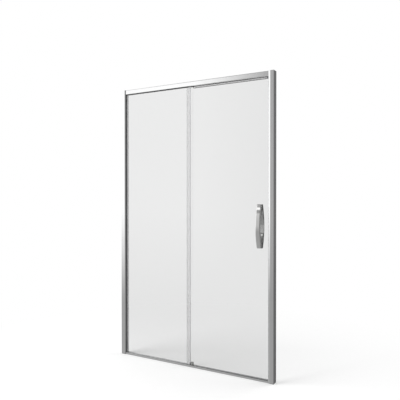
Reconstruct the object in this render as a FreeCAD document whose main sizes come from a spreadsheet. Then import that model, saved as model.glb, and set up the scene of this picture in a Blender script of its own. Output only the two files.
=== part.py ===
import FreeCAD, Part
import math
import os
import re
import Sketcher

# Sliding shower door for a recess, in millimetres.
# X runs along the opening, Y from the outside to the inside of the shower, Z up.
# The origin is the middle of the sill's underside, on the mid-plane of the frame.

SIZES = [
    ("frame_width", 1200, "wall to wall"),
    ("frame_height", 1950, "underside of the sill to the top of the header"),
    ("frame_depth", 45, "front to back of the posts"),
    ("post_width", 37, "post seen from the front"),
    ("post_wall", 2, "wall of the post extrusion"),
    ("fixed_nose", 8, "width of the rounded edges of the post that holds the fixed pane"),
    ("closing_nose", 14, "width of the rounded edges of the post that the door shuts against"),
    ("nose_drop", 5.5, "how far those edges fall back"),
    ("cap_thickness", 2.5, "plate of a post's end cap"),
    ("cap_plug", 6, "depth of the plug under an end cap"),
    ("cap_play", 0.3, "play of that plug in the wall channel"),
    ("channel_leg", 16, "leg of a wall channel"),
    ("channel_wall", 2, "wall of a wall channel"),
    ("channel_play", 0.2, "play between a post and its wall channel"),
    ("wall_hole", 6, "diameter of the holes for wall screws"),
    ("wall_hole_margin", 150, "outer wall holes from the ends of the frame"),
    ("wall_hole_inner", 700, "inner wall holes from the ends of the frame"),
    ("groove_depth", 12, "glass grooves of the posts and the header"),
    ("gasket_side", 2, "gasket between glass and groove"),
    ("gasket_base", 1, "gasket under the edge of the glass"),
    ("glass_thickness", 6, "both panes"),
    ("glass_arris", 0.8, "ground edges of the panes"),
    ("fixed_plane", 10, "middle of the fixed pane in front of the frame's mid-plane"),
    ("door_plane", 10, "middle of the door pane behind the frame's mid-plane"),
    ("fixed_edge", 8, "free edge of the fixed pane, left of the middle"),
    ("pane_overlap", 40, "door pane behind the fixed pane"),
    ("header_height", 31, "front of the header"),
    ("header_wall", 2, "wall of the header extrusion"),
    ("header_round", 4.5, "rounded upper front edge of the header"),
    ("header_edge", 1.5, "rounded lower front edge of the header"),
    ("web_width", 7, "solid web with the screw ports, in the header and the sill"),
    ("ledge_width", 7.2, "track ledge in the header"),
    ("ledge_thickness", 3, "track ledge in the header"),
    ("rib_half", 2, "half the width of the track rib"),
    ("rib_height", 1.6, "track rib on the ledge"),
    ("sill_height", 12, "front of the sill"),
    ("sill_floor", 2, "under the glass groove of the sill"),
    ("sill_wall", 2, "front wall and rear dam of the sill"),
    ("sill_plate", 3, "flat of the sill under the door"),
    ("sill_rear", 19, "back of the sill from the mid-plane"),
    ("sill_round", 1.2, "rounded front edge of the sill"),
    ("dam_height", 10, "rear dam of the sill"),
    ("filler_wall", 1.5, "filler strips of the empty grooves"),
    ("filler_recess", 1, "filler strips below the mouth of their groove"),
    ("seal_wall", 1, "clear seal strips"),
    ("seal_grip", 11, "clear seal strips along the glass"),
    ("seal_lift", 1, "seal strips above the sill"),
    ("fin_play", 0.6, "fin of the door's edge seal to the fixed pane"),
    ("magnet_width", 9, "magnet strip of the post"),
    ("magnet_thickness", 4, "magnet strips of the post and the door"),
    ("magnet_gap", 0.5, "between the magnet strips of the closed door"),
    ("door_bottom_gap", 5, "door pane above the flat of the sill"),
    ("hanger_drop", 1.1, "hanger rail below the header"),
    ("hanger_height", 10, "hanger rail"),
    ("hanger_width", 14, "hanger rail, front to back"),
    ("hanger_roof", 4, "hanger rail above the pane"),
    ("hanger_pad", 1, "gasket between hanger rail and pane"),
    ("hanger_round", 2.5, "rounded edges of the hanger rail"),
    ("hanger_inset", 52, "left end of the hanger rail from the edge of the pane"),
    ("hanger_gap", 14, "right end of the hanger rail from the post"),
    ("hanger_cap", 4, "end caps of the hanger rail"),
    ("bracket_length", 76, "roller brackets"),
    ("bracket_plate", 3, "upright plate of a roller bracket"),
    ("bracket_foot", 2.5, "foot of a roller bracket"),
    ("bracket_reach", 5.5, "foot in front of the upright plate"),
    ("bracket_gap", 1.3, "upright plate to the track ledge"),
    ("bracket_rise", 9, "upright plate above the axles"),
    ("bracket_round", 7, "upper corners of the upright plate"),
    ("bracket_inset", 60, "middle of a bracket from the end of the hanger rail"),
    ("bracket_screw_pitch", 60, "between the two screws of a bracket"),
    ("bracket_screw", 4, "shank of a bracket screw"),
    ("bracket_screw_head", 5.2, "diameter of its head"),
    ("bracket_head_height", 2.5, "height of its head"),
    ("wheel_base", 44, "between the two axles of a bracket"),
    ("wheel_radius", 10, "flanges of a wheel"),
    ("tread_radius", 8.6, "bottom of the groove that runs on the rib"),
    ("tread_half", 2.4, "half the width of that groove"),
    ("wheel_width", 5.5, "wheels"),
    ("wheel_side_gap", 1.4, "wheel to the rear wall of the header"),
    ("wheel_play", 0.3, "running play of a wheel"),
    ("bearing_outside", 11, "bearing in a wheel"),
    ("bearing_width", 4, "bearing in a wheel"),
    ("bearing_rim", 1, "rings of the bearing beside its shield"),
    ("bearing_shield", 0.4, "depth of the shield"),
    ("press_play", 0.05, "play of pieces that are pressed together"),
    ("axle_diameter", 5, "wheel axles"),
    ("axle_play", 0.08, "bearing on its axle"),
    ("axle_collar", 8, "head, collar and clip of an axle"),
    ("axle_head", 2.5, "head of an axle"),
    ("axle_clip", 0.8, "clip at the end of an axle"),
    ("stop_setback", 86.5, "left door stop from the post, which sets the travel of the door"),
    ("stop_gap", 0.5, "bracket to buffer when the door is shut"),
    ("stop_length", 28, "left door stop"),
    ("stop_play", 0.3, "door stops in the header"),
    ("buffer_diameter", 10, "rubber buffers of the door stops"),
    ("buffer_length", 4, "rubber buffers of the door stops"),
    ("stop_screw", 5, "clamp screws of the door stops"),
    ("guide_length", 18, "guide block along the sill"),
    ("guide_height", 16, "guide block above the sill"),
    ("guide_round", 4, "rounded upper front edge of the guide block"),
    ("guide_floor", 3, "guide block under the door pane"),
    ("guide_play", 0.5, "guide block beside the door pane"),
    ("guide_lap", 9, "guide block behind the free edge of the fixed pane"),
    ("guide_screw", 3, "shank of the guide's screw"),
    ("guide_screw_edge", 2, "guide's screw from the back of the sill's web"),
    ("guide_screw_head", 7, "diameter of its head"),
    ("guide_screw_bite", 3, "depth of that screw in the sill"),
    ("guide_screw_cover", 5, "head of that screw above the sill"),
    ("guide_head_height", 3, "height of its head"),
    ("handle_height", 977.5, "middle of the handles"),
    ("handle_setback", 67.5, "middle of the handles from the post"),
    ("handle_length", 279, "handles"),
    ("handle_width", 32, "handles seen from the front"),
    ("handle_foot", 37, "foot of a handle along the glass"),
    ("handle_rise", 12.5, "end of a handle off the glass"),
    ("handle_bow", 36, "middle of a handle off the glass"),
    ("handle_band", 7, "thickness of the bow at its middle"),
    ("handle_round", 5, "rounded outer edges of a handle"),
    ("handle_washer", 18, "washers under the handle feet"),
    ("washer_thickness", 1, "washers under the handle feet"),
    ("handle_stud", 6, "studs that join the handles"),
    ("stud_bite", 12, "depth of a stud in a foot"),
    ("stud_play", 0.2, "play around and beyond a stud"),
    ("glass_hole", 12, "handle holes of the door pane"),
    ("frame_screw", 4, "shank of the post and corner screws"),
    ("frame_screw_head", 7.5, "diameter of their heads"),
    ("frame_screw_rise", 3, "height of their heads"),
    ("frame_screw_play", 0.2, "play around their shanks"),
    ("corner_screw_bite", 14, "depth of a corner screw in its port"),
    ("header_port_margin", 8, "screw ports from the top and bottom of the header"),
    ("sill_port_height", 6, "screw port of the sill"),
    ("post_screw_reach", 9, "length of a post screw"),
    ("post_screw_inset", 8, "post screws from the wall"),
    ("post_screw_margin", 250, "outer post screws from the ends of the frame"),
    ("cover_diameter", 11, "covers of the post screws"),
    ("cover_wall", 1, "wall of such a cover"),
    ("cover_taper", 0.7, "tapered rim of its face"),
]

doc = FreeCAD.newDocument("ShowerDoor")
sheet = doc.addObject("Spreadsheet::Sheet", "Dims")
for row, (alias, value, note) in enumerate(SIZES, start=1):
    sheet.set(f"A{row}", note)
    sheet.set(f"B{row}", str(value))
    sheet.setAlias(f"B{row}", alias)
doc.recompute()

LEFT = "-1"
RIGHT = "1"
SIDES = (("left", LEFT), ("right", RIGHT))

# Places that several pieces share, as expressions of the sizes above.
BACK = "(frame_depth / 2)"
GROOVE_HALF = "(glass_thickness / 2 + gasket_side)"
POST_FACE = "(frame_width / 2 - post_width)"
POST_WEB = "(frame_width / 2 - post_width + groove_depth + post_wall)"
GROOVE_FLOOR = "(frame_width / 2 - post_width + groove_depth)"
CHANNEL_HALF = "(frame_depth / 2 - post_wall - channel_play)"
POST_TOP = "(frame_height - cap_thickness)"
FIXED_FRONT = f"(-fixed_plane - {GROOVE_HALF})"
FIXED_BACK = f"(-fixed_plane + {GROOVE_HALF})"
DOOR_FRONT = f"(door_plane - {GROOVE_HALF})"
DOOR_BACK = f"(door_plane + {GROOVE_HALF})"
WEB_BACK = f"({FIXED_BACK} + web_width)"
WEB_MIDDLE = f"({FIXED_BACK} + web_width / 2)"
HEADER_BOTTOM = "(frame_height - header_height)"
TRACK_BACK = f"({BACK} - header_wall)"
LEDGE_EDGE = f"({TRACK_BACK} - ledge_width)"
LEDGE_TOP = f"({HEADER_BOTTOM} + ledge_thickness)"
WHEEL_BACK = f"({TRACK_BACK} - wheel_side_gap)"
WHEEL_Y = f"({WHEEL_BACK} - wheel_width / 2)"
WHEEL_Z = f"({LEDGE_TOP} + rib_height + wheel_play + tread_radius)"
FIXED_TOP = f"({HEADER_BOTTOM} + groove_depth - gasket_base)"
FIXED_BOTTOM = "(sill_floor + gasket_base)"
DOOR_LEFT = "(-fixed_edge - pane_overlap)"
DOOR_RIGHT = f"({GROOVE_FLOOR} - 2 * magnet_thickness - magnet_gap)"
DOOR_BOTTOM = "(sill_plate + door_bottom_gap)"
HANGER_TOP = f"({HEADER_BOTTOM} - hanger_drop)"
HANGER_BOTTOM = f"({HANGER_TOP} - hanger_height)"
DOOR_TOP = f"({HANGER_TOP} - hanger_roof - hanger_pad)"
HANGER_LEFT = f"({DOOR_LEFT} + hanger_inset)"
HANGER_RIGHT = f"({POST_FACE} - hanger_gap)"
PLATE_BACK = f"({LEDGE_EDGE} - bracket_gap)"
PLATE_FRONT = f"({PLATE_BACK} - bracket_plate)"
BRACKETS = (
    ("left", f"({HANGER_LEFT} + bracket_inset)"),
    ("right", f"({HANGER_RIGHT} - bracket_inset)"),
)
BRACKET_SCREW_Y = f"({PLATE_FRONT} - bracket_reach / 2)"
SEAL_BOTTOM = "(sill_height + seal_lift)"
GUIDE_TOP = "(sill_height + guide_height)"
GUIDE_LEFT = "(-fixed_edge - guide_lap)"
GUIDE_MIDDLE = f"({GUIDE_LEFT} + guide_length / 2)"
GUIDE_SCREW_Y = f"({WEB_BACK} - guide_screw_edge)"
HANDLE_X = f"({POST_FACE} - handle_setback)"
STUD_HEIGHTS = tuple(
    f"(handle_height {sign} (handle_length - handle_foot) / 2)" for sign in "+-"
)
POST_SCREW_HEIGHTS = ("post_screw_margin", "(frame_height / 2)", "(frame_height - post_screw_margin)")
WALL_HOLE_HEIGHTS = (
    "wall_hole_margin",
    "wall_hole_inner",
    "(frame_height - wall_hole_inner)",
    "(frame_height - wall_hole_margin)",
)
HEADER_PORTS = (f"({HEADER_BOTTOM} + header_port_margin)", "(frame_height - header_port_margin)")
SILL_PORTS = ("sill_port_height",)

AXES = {
    "X": FreeCAD.Rotation(FreeCAD.Vector(0, 1, 0), 90),
    "Y": FreeCAD.Rotation(FreeCAD.Vector(1, 0, 0), -90),
    "Z": FreeCAD.Rotation(),
}
BEND_LEFT = 1
BEND_RIGHT = -1

pieces = []


def cells(text):
    """The expression with every size name pointed at its cell."""
    return re.sub(r"[a-z_]+\b(?!\()", lambda found: "Dims." + found.group(0), text)


def number(text):
    return float(sheet.evalExpression(cells(text)))


def bind(thing, prop, text):
    thing.setExpression(prop, cells(text))


def place(thing, x, y, z):
    for axis, text in (("x", x), ("y", y), ("z", z)):
        bind(thing, f"Placement.Base.{axis}", text)


def bow_radius(half_chord, rise):
    """Radius of an arc from half its chord and its rise."""
    return f"((({half_chord}) ^ 2 + ({rise}) ^ 2) / (2 * ({rise})))"


def new_body(label):
    body = doc.addObject("PartDesign::Body", label)
    body.Label = label
    return body


def new_sketch(body, role, offset="0"):
    """Sketch on an origin plane of the body, moved along the plane's normal."""
    plane = next(item for item in body.Origin.OriginFeatures if item.Role == role)
    sketch = body.newObject("Sketcher::SketchObject", f"{body.Name}_sketch")
    sketch.AttachmentSupport = [(plane, "")]
    sketch.MapMode = "FlatFace"
    bind(sketch, "AttachmentOffset.Base.z", offset)
    return sketch


def fix_point(sketch, edge, end, u, v):
    for kind, text in (("DistanceX", u), ("DistanceY", v)):
        index = sketch.addConstraint(Sketcher.Constraint(kind, -1, 1, edge, end, number(text)))
        bind(sketch, f"Constraints[{index}]", text)


def fix_radius(sketch, edge, text):
    index = sketch.addConstraint(Sketcher.Constraint("Radius", edge, number(text)))
    bind(sketch, f"Constraints[{index}]", text)


def minor_arc(start, stop, radius, bend):
    chord = stop - start
    across = FreeCAD.Vector(-chord.y, chord.x, 0).normalize() * bend
    reach = math.sqrt(max(radius ** 2 - (chord.Length / 2) ** 2, 0))
    centre = (start + stop) / 2 + across * reach
    first, last = (start, stop) if bend == BEND_LEFT else (stop, start)
    angles = [math.atan2(point.y - centre.y, point.x - centre.x) for point in (first, last)]
    circle = Part.Circle(centre, FreeCAD.Vector(0, 0, 1), radius)
    return Part.ArcOfCircle(circle, angles[0], angles[1])


def draw_outline(sketch, corners):
    """Closed outline of corners (u, v). A corner (u, v, radius, bend) starts an arc to the next."""
    first = sketch.GeometryCount
    count = len(corners)
    ends = []
    for corner, following in zip(corners, corners[1:] + corners[:1]):
        start = FreeCAD.Vector(number(corner[0]), number(corner[1]), 0)
        stop = FreeCAD.Vector(number(following[0]), number(following[1]), 0)
        if len(corner) == 2:
            sketch.addGeometry(Part.LineSegment(start, stop), False)
            ends.append((1, 2))
        else:
            sketch.addGeometry(minor_arc(start, stop, number(corner[2]), corner[3]), False)
            ends.append((1, 2) if corner[3] == BEND_LEFT else (2, 1))
    for index in range(count):
        after = (index + 1) % count
        sketch.addConstraint(
            Sketcher.Constraint("Coincident", first + index, ends[index][1], first + after, ends[after][0])
        )
    for index, corner in enumerate(corners):
        fix_point(sketch, first + index, ends[index][0], corner[0], corner[1])
        if len(corner) == 4:
            fix_radius(sketch, first + index, corner[2])


def draw_circle(sketch, u, v, diameter):
    edge = sketch.GeometryCount
    centre = FreeCAD.Vector(number(u), number(v), 0)
    radius = f"({diameter}) / 2"
    sketch.addGeometry(Part.Circle(centre, FreeCAD.Vector(0, 0, 1), number(radius)), False)
    fix_point(sketch, edge, 3, u, v)
    fix_radius(sketch, edge, radius)


def prism(label, role, outline, start, length, holes=(), bores=()):
    """Extrusion of an outline, from its start along the normal of the plane."""
    body = new_body(label)
    sketch = new_sketch(body, role, start)
    draw_outline(sketch, outline)
    for hole in holes:
        draw_outline(sketch, hole)
    for u, v, diameter in bores:
        draw_circle(sketch, u, v, diameter)
    pad = body.newObject("PartDesign::Pad", f"{label}_pad")
    pad.Profile = sketch
    bind(pad, "Length", length)
    pieces.append(body)
    return body


def along_z(label, outline, bottom, top, **cuts):
    return prism(label, "XY_Plane", outline, bottom, f"({top}) - ({bottom})", **cuts)


def along_x(label, outline, left, right, **cuts):
    return prism(label, "YZ_Plane", outline, left, f"({right}) - ({left})", **cuts)


def along_y(label, outline, front, back, **cuts):
    return prism(label, "XZ_Plane", outline, f"-({back})", f"({back}) - ({front})", **cuts)


def drill(body, role, start, depth, centres, diameter):
    """Round holes from the plane at start, against the plane's normal."""
    doc.recompute()
    before = body.Shape.Volume
    sketch = new_sketch(body, role, start)
    for u, v in centres:
        draw_circle(sketch, u, v, diameter)
    pocket = body.newObject("PartDesign::Pocket", f"{body.Name}_holes")
    pocket.Profile = sketch
    bind(pocket, "Length", depth)
    doc.recompute()
    if body.Shape.Volume >= before:
        raise RuntimeError(f"holes of {body.Label} miss the solid")


def dress(body, kind, prop, size, chosen):
    """Fillet or chamfer on the edges that chosen() picks."""
    doc.recompute()
    base = body.Tip
    names = [f"Edge{index}" for index, edge in enumerate(base.Shape.Edges, start=1) if chosen(edge)]
    feature = body.newObject(f"PartDesign::{kind}", f"{body.Name}_{kind.lower()}")
    feature.Base = (base, names)
    bind(feature, prop, size)


def runs_along(edge, axis):
    start, stop = (vertex.Point for vertex in (edge.Vertexes[0], edge.Vertexes[-1]))
    return (stop - start).cross(axis).Length < 1e-6 and (stop - start).Length > 1e-6


def rectangle(left, right, bottom, top):
    return [(left, bottom), (right, bottom), (right, top), (left, top)]


def trough(near, far, floor, inside, mouth, wall, sideways=False):
    """U outline between near and far, from its floor to its mouth, with the floor's inside given."""
    outline = [
        (near, mouth),
        (near, floor),
        (far, floor),
        (far, mouth),
        (f"{far} - {wall}", mouth),
        (f"{far} - {wall}", inside),
        (f"{near} + {wall}", inside),
        (f"{near} + {wall}", mouth),
    ]
    return [(depth, across) for across, depth in outline] if sideways else outline


def rod(axis, diameter, length, x, y, z):
    cylinder = doc.addObject("Part::Cylinder", "rod")
    bind(cylinder, "Radius", f"({diameter}) / 2")
    bind(cylinder, "Height", length)
    cylinder.Placement = FreeCAD.Placement(FreeCAD.Vector(), AXES[axis])
    place(cylinder, x, y, z)
    return cylinder


def hollow(outside, inside):
    cut = doc.addObject("Part::Cut", "ring")
    cut.Base = outside
    cut.Tool = inside
    return cut


def tapered(axis, diameter, taper, x, y, z):
    """Short cone that narrows by its own height all round."""
    cone = doc.addObject("Part::Cone", "cone")
    bind(cone, "Radius1", f"({diameter}) / 2")
    bind(cone, "Radius2", f"({diameter}) / 2 - {taper}")
    bind(cone, "Height", taper)
    cone.Placement = FreeCAD.Placement(FreeCAD.Vector(), AXES[axis])
    place(cone, x, y, z)
    return cone


def group(label, members):
    """One node of several solids. Members that touch become one solid."""
    joined = doc.addObject("Part::MultiFuse", label)
    joined.Label = label
    joined.Shapes = members
    pieces.append(joined)


def turned(label, outline, x, y, z):
    """Piece turned about a line along Y: the outline is in Y and radius."""
    body = new_body(label)
    sketch = new_sketch(body, "YZ_Plane")
    draw_outline(sketch, outline)
    revolution = body.newObject("PartDesign::Revolution", f"{label}_turn")
    revolution.Profile = sketch
    revolution.ReferenceAxis = (sketch, ["H_Axis"])
    revolution.Angle = 360
    place(body, x, y, z)
    pieces.append(body)


# Wall channels and posts

def from_wall(side, distance):
    return f"{side} * (frame_width / 2 - ({distance}))"


def wall_channel(name, side):
    inner = f"({CHANNEL_HALF} - channel_wall)"
    outline = [
        (from_wall(side, "0"), f"-{CHANNEL_HALF}"),
        (from_wall(side, "channel_leg"), f"-{CHANNEL_HALF}"),
        (from_wall(side, "channel_leg"), f"-{inner}"),
        (from_wall(side, "channel_wall"), f"-{inner}"),
        (from_wall(side, "channel_wall"), inner),
        (from_wall(side, "channel_leg"), inner),
        (from_wall(side, "channel_leg"), CHANNEL_HALF),
        (from_wall(side, "0"), CHANNEL_HALF),
    ]
    body = along_z(f"wall_channel_{name}", outline, "0", POST_TOP)
    base_right = from_wall(side, "channel_wall") if side == LEFT else from_wall(side, "0")
    drill(body, "YZ_Plane", base_right, "channel_wall", [("0", z) for z in WALL_HOLE_HEIGHTS], "wall_hole")
    screws = [(from_wall(side, "post_screw_inset"), z) for z in POST_SCREW_HEIGHTS]
    drill(body, "XZ_Plane", f"-{inner}", "channel_wall", screws, "frame_screw + 2 * frame_screw_play")


def post_face_outline(side):
    """Outer outline of a post, with its two rounded edges, from the wall round the front."""
    bend = BEND_LEFT if side == LEFT else BEND_RIGHT
    nose = "fixed_nose" if side == LEFT else "closing_nose"
    radius = bow_radius(nose, "nose_drop")
    flat = from_wall(side, f"post_width - {nose}")
    face = from_wall(side, "post_width")
    front = [
        (from_wall(side, "0"), f"-{BACK}"),
        (flat, f"-{BACK}", radius, bend),
        (face, f"-{BACK} + nose_drop"),
    ]
    back = [
        (face, f"{BACK} - nose_drop", radius, bend),
        (flat, BACK),
        (from_wall(side, "0"), BACK),
    ]
    return front, back


def frame_post(name, side):
    front, back = post_face_outline(side)
    face = from_wall(side, "post_width")
    floor = from_wall(side, "post_width - groove_depth")
    web = from_wall(side, "post_width - groove_depth - post_wall")
    wall = from_wall(side, "0")
    grooves = [
        (face, FIXED_FRONT),
        (floor, FIXED_FRONT),
        (floor, FIXED_BACK),
        (face, FIXED_BACK),
        (face, DOOR_FRONT),
        (floor, DOOR_FRONT),
        (floor, DOOR_BACK),
        (face, DOOR_BACK),
    ]
    cavity = [
        (wall, f"{BACK} - post_wall"),
        (web, f"{BACK} - post_wall"),
        (web, f"-{BACK} + post_wall"),
        (wall, f"-{BACK} + post_wall"),
    ]
    chamber = rectangle(
        from_wall(side, "post_width - groove_depth + post_wall"),
        from_wall(side, "post_width - post_wall"),
        f"{FIXED_BACK} + post_wall",
        f"{DOOR_FRONT} - post_wall",
    )
    outline = front + grooves + back + cavity
    body = along_z(f"frame_post_{name}", outline, "0", POST_TOP, holes=[chamber])
    web_right = f"-{POST_FACE}" if side == LEFT else POST_WEB
    ports = [(WEB_MIDDLE, z) for z in HEADER_PORTS + SILL_PORTS]
    clear = "frame_screw + 2 * frame_screw_play"
    drill(body, "YZ_Plane", web_right, "groove_depth + post_wall", ports, clear)
    screws = [(from_wall(side, "post_screw_inset"), z) for z in POST_SCREW_HEIGHTS]
    drill(body, "XZ_Plane", f"-({BACK} - post_wall)", "post_wall", screws, clear)


def post_cap(name, side):
    front, back = post_face_outline(side)
    body = along_z(f"post_cap_{name}", front + back, POST_TOP, "frame_height")
    half = f"({CHANNEL_HALF} - channel_wall - cap_play)"
    sketch = new_sketch(body, "XY_Plane", POST_TOP)
    near = from_wall(side, "channel_wall + cap_play")
    far = from_wall(side, "channel_leg - frame_screw_rise")
    draw_outline(sketch, rectangle(near, far, f"-{half}", half))
    plug = body.newObject("PartDesign::Pad", f"{body.Name}_plug")
    plug.Profile = sketch
    plug.Reversed = True
    bind(plug, "Length", "cap_plug")


def post_fasteners(name, side):
    x = from_wall(side, "post_screw_inset")
    rim = f"({BACK} + frame_screw_rise + cover_wall - cover_taper)"
    screws = []
    covers = []
    for z in POST_SCREW_HEIGHTS:
        screws.append(rod("Y", "frame_screw", "post_screw_reach", x, f"{BACK} - post_screw_reach", z))
        screws.append(rod("Y", "frame_screw_head", "frame_screw_rise", x, BACK, z))
        cup = rod("Y", "cover_diameter", f"{rim} - {BACK}", x, BACK, z)
        room = rod("Y", "cover_diameter - 2 * cover_wall", "frame_screw_rise", x, BACK, z)
        covers.append(hollow(cup, room))
        covers.append(tapered("Y", "cover_diameter", "cover_taper", x, rim, z))
    group(f"post_screws_{name}", screws)
    group(f"screw_covers_{name}", covers)


def corner_screws(label, heights):
    """Screws from inside the posts into the ports of the header or the sill."""
    reach = "groove_depth + post_wall + corner_screw_bite"
    screws = []
    for z in heights:
        left_head = f"-{POST_WEB} - frame_screw_rise"
        screws.append(rod("X", "frame_screw_head", "frame_screw_rise", left_head, WEB_MIDDLE, z))
        screws.append(rod("X", "frame_screw", reach, f"-{POST_WEB}", WEB_MIDDLE, z))
        screws.append(rod("X", "frame_screw", reach, f"{POST_WEB} - ({reach})", WEB_MIDDLE, z))
        screws.append(rod("X", "frame_screw_head", "frame_screw_rise", POST_WEB, WEB_MIDDLE, z))
    group(label, screws)


# Header and sill

def header_rail():
    front = f"(-{BACK} + nose_drop)"
    roof = "frame_height - header_wall"
    outline = [
        (f"{front} + header_edge", HEADER_BOTTOM),
        (FIXED_FRONT, HEADER_BOTTOM),
        (FIXED_FRONT, f"{HEADER_BOTTOM} + groove_depth"),
        (FIXED_BACK, f"{HEADER_BOTTOM} + groove_depth"),
        (FIXED_BACK, HEADER_BOTTOM),
        (WEB_BACK, HEADER_BOTTOM),
        (WEB_BACK, roof),
        (TRACK_BACK, roof),
        (TRACK_BACK, LEDGE_TOP),
        (f"{WHEEL_Y} + rib_half", LEDGE_TOP, bow_radius("rib_half", "rib_height"), BEND_LEFT),
        (f"{WHEEL_Y} - rib_half", LEDGE_TOP),
        (LEDGE_EDGE, LEDGE_TOP),
        (LEDGE_EDGE, HEADER_BOTTOM),
        (BACK, HEADER_BOTTOM),
        (BACK, "frame_height"),
        (f"{front} + header_round", "frame_height", "header_round", BEND_LEFT),
        (front, "frame_height - header_round"),
        (front, f"{HEADER_BOTTOM} + header_edge", "header_edge", BEND_LEFT),
    ]
    chamber = rectangle(
        f"{front} + header_wall", FIXED_BACK, f"{HEADER_BOTTOM} + groove_depth + header_wall", roof
    )
    ports = [(WEB_MIDDLE, z, "frame_screw + 2 * frame_screw_play") for z in HEADER_PORTS]
    along_x("header_rail", outline, f"-{POST_FACE}", POST_FACE, holes=[chamber], bores=ports)


def sill_rail():
    front = f"({FIXED_FRONT} - sill_wall)"
    dam_front = "sill_rear - sill_wall"
    outline = [
        (front, "0"),
        ("sill_rear", "0"),
        ("sill_rear", "dam_height"),
        (dam_front, "dam_height"),
        (dam_front, "sill_plate"),
        (WEB_BACK, "sill_plate"),
        (WEB_BACK, "sill_height"),
        (FIXED_BACK, "sill_height"),
        (FIXED_BACK, "sill_floor"),
        (FIXED_FRONT, "sill_floor"),
        (FIXED_FRONT, "sill_height"),
        (f"{front} + sill_round", "sill_height", "sill_round", BEND_LEFT),
        (front, "sill_height - sill_round"),
    ]
    ports = [(WEB_MIDDLE, z, "frame_screw + 2 * frame_screw_play") for z in SILL_PORTS]
    body = along_x("sill_rail", outline, f"-{POST_FACE}", POST_FACE, bores=ports)
    hole = "guide_screw + 2 * frame_screw_play"
    drill(body, "XY_Plane", "sill_height", "guide_screw_bite", [(GUIDE_MIDDLE, GUIDE_SCREW_Y)], hole)


# Fixed pane, its gaskets and the filler strips

def ground_edges(body):
    """Ground edges along the four sides of a pane, on both faces."""
    depth = FreeCAD.Vector(0, 1, 0)
    straight = (Part.Line, Part.LineSegment)
    dress(
        body,
        "Chamfer",
        "Size",
        "glass_arris",
        lambda edge: isinstance(edge.Curve, straight) and not runs_along(edge, depth),
    )


def fixed_pane():
    outline = rectangle(f"-{GROOVE_FLOOR} + gasket_base", "-fixed_edge", FIXED_BOTTOM, FIXED_TOP)
    front = "-fixed_plane - glass_thickness / 2"
    back = "-fixed_plane + glass_thickness / 2"
    ground_edges(along_y("fixed_glass", outline, front, back))


def fixed_gaskets():
    inside = f"-{GROOVE_FLOOR} + gasket_base"
    side = trough(
        FIXED_FRONT, FIXED_BACK, f"-{GROOVE_FLOOR}", inside, f"-{POST_FACE}", "gasket_side", sideways=True
    )
    along_z("gasket_fixed_side", side, "sill_height", HEADER_BOTTOM)
    floor = f"{HEADER_BOTTOM} + groove_depth"
    top = trough(FIXED_FRONT, FIXED_BACK, floor, FIXED_TOP, HEADER_BOTTOM, "gasket_side")
    along_x("gasket_fixed_top", top, f"-{POST_FACE}", "-fixed_edge")
    bottom = trough(FIXED_FRONT, FIXED_BACK, "sill_floor", FIXED_BOTTOM, "sill_height", "gasket_side")
    along_x("gasket_fixed_bottom", bottom, f"-{POST_FACE}", "-fixed_edge")


def fixed_edge_seal():
    half = "(glass_thickness / 2 + seal_wall)"
    outline = trough(
        f"-fixed_plane - {half}",
        f"-fixed_plane + {half}",
        "-fixed_edge + seal_wall",
        "-fixed_edge",
        "-fixed_edge - seal_grip",
        "seal_wall",
        sideways=True,
    )
    along_z("fixed_edge_seal", outline, "sill_height", HEADER_BOTTOM)


def filler_strips():
    """Strips that close the grooves where no glass stands, open towards the groove's floor."""
    start = "-fixed_edge"
    face = f"{HEADER_BOTTOM} + filler_recess"
    header = trough(
        FIXED_FRONT, FIXED_BACK, face, f"{face} + filler_wall", f"{HEADER_BOTTOM} + groove_depth", "filler_wall"
    )
    along_x("filler_header", header, start, POST_FACE)
    face = "sill_height - filler_recess"
    sill = trough(FIXED_FRONT, FIXED_BACK, face, f"{face} - filler_wall", "sill_floor", "filler_wall")
    along_x("filler_sill", sill, start, POST_FACE)
    for (name, side), (near, far) in zip(SIDES, ((DOOR_FRONT, DOOR_BACK), (FIXED_FRONT, FIXED_BACK))):
        face = from_wall(side, "post_width - filler_recess")
        inside = from_wall(side, "post_width - filler_recess - filler_wall")
        floor = from_wall(side, "post_width - groove_depth")
        strip = trough(near, far, face, inside, floor, "filler_wall", sideways=True)
        along_z(f"filler_post_{name}", strip, "sill_height", HEADER_BOTTOM)


# Guide block, closing magnet and door stops

def sill_guide():
    slot_front = "door_plane - glass_thickness / 2 - guide_play"
    slot_back = "door_plane + glass_thickness / 2 + guide_play"
    slot_floor = "sill_plate + guide_floor"
    back = "sill_rear - sill_wall"
    outline = [
        (WEB_BACK, "sill_plate"),
        (back, "sill_plate"),
        (back, GUIDE_TOP),
        (slot_back, GUIDE_TOP),
        (slot_back, slot_floor),
        (slot_front, slot_floor),
        (slot_front, GUIDE_TOP),
        (f"{FIXED_BACK} + guide_round", GUIDE_TOP, "guide_round", BEND_LEFT),
        (FIXED_BACK, f"{GUIDE_TOP} - guide_round"),
        (FIXED_BACK, "sill_height"),
        (WEB_BACK, "sill_height"),
    ]
    body = along_x("sill_guide", outline, GUIDE_LEFT, f"{GUIDE_LEFT} + guide_length")
    centre = [(GUIDE_MIDDLE, GUIDE_SCREW_Y)]
    shank = "guide_screw + 2 * frame_screw_play"
    drill(body, "XY_Plane", GUIDE_TOP, "guide_height", centre, shank)
    bore = "guide_screw_head + 2 * frame_screw_play"
    drill(body, "XY_Plane", GUIDE_TOP, "guide_height - guide_screw_cover", centre, bore)
    seat = "sill_height + guide_screw_cover"
    foot = "sill_height - guide_screw_bite"
    shaft = rod("Z", "guide_screw", f"{seat} - ({foot})", GUIDE_MIDDLE, GUIDE_SCREW_Y, foot)
    head = rod("Z", "guide_screw_head", "guide_head_height", GUIDE_MIDDLE, GUIDE_SCREW_Y, seat)
    group("guide_screw", [shaft, head])


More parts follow.
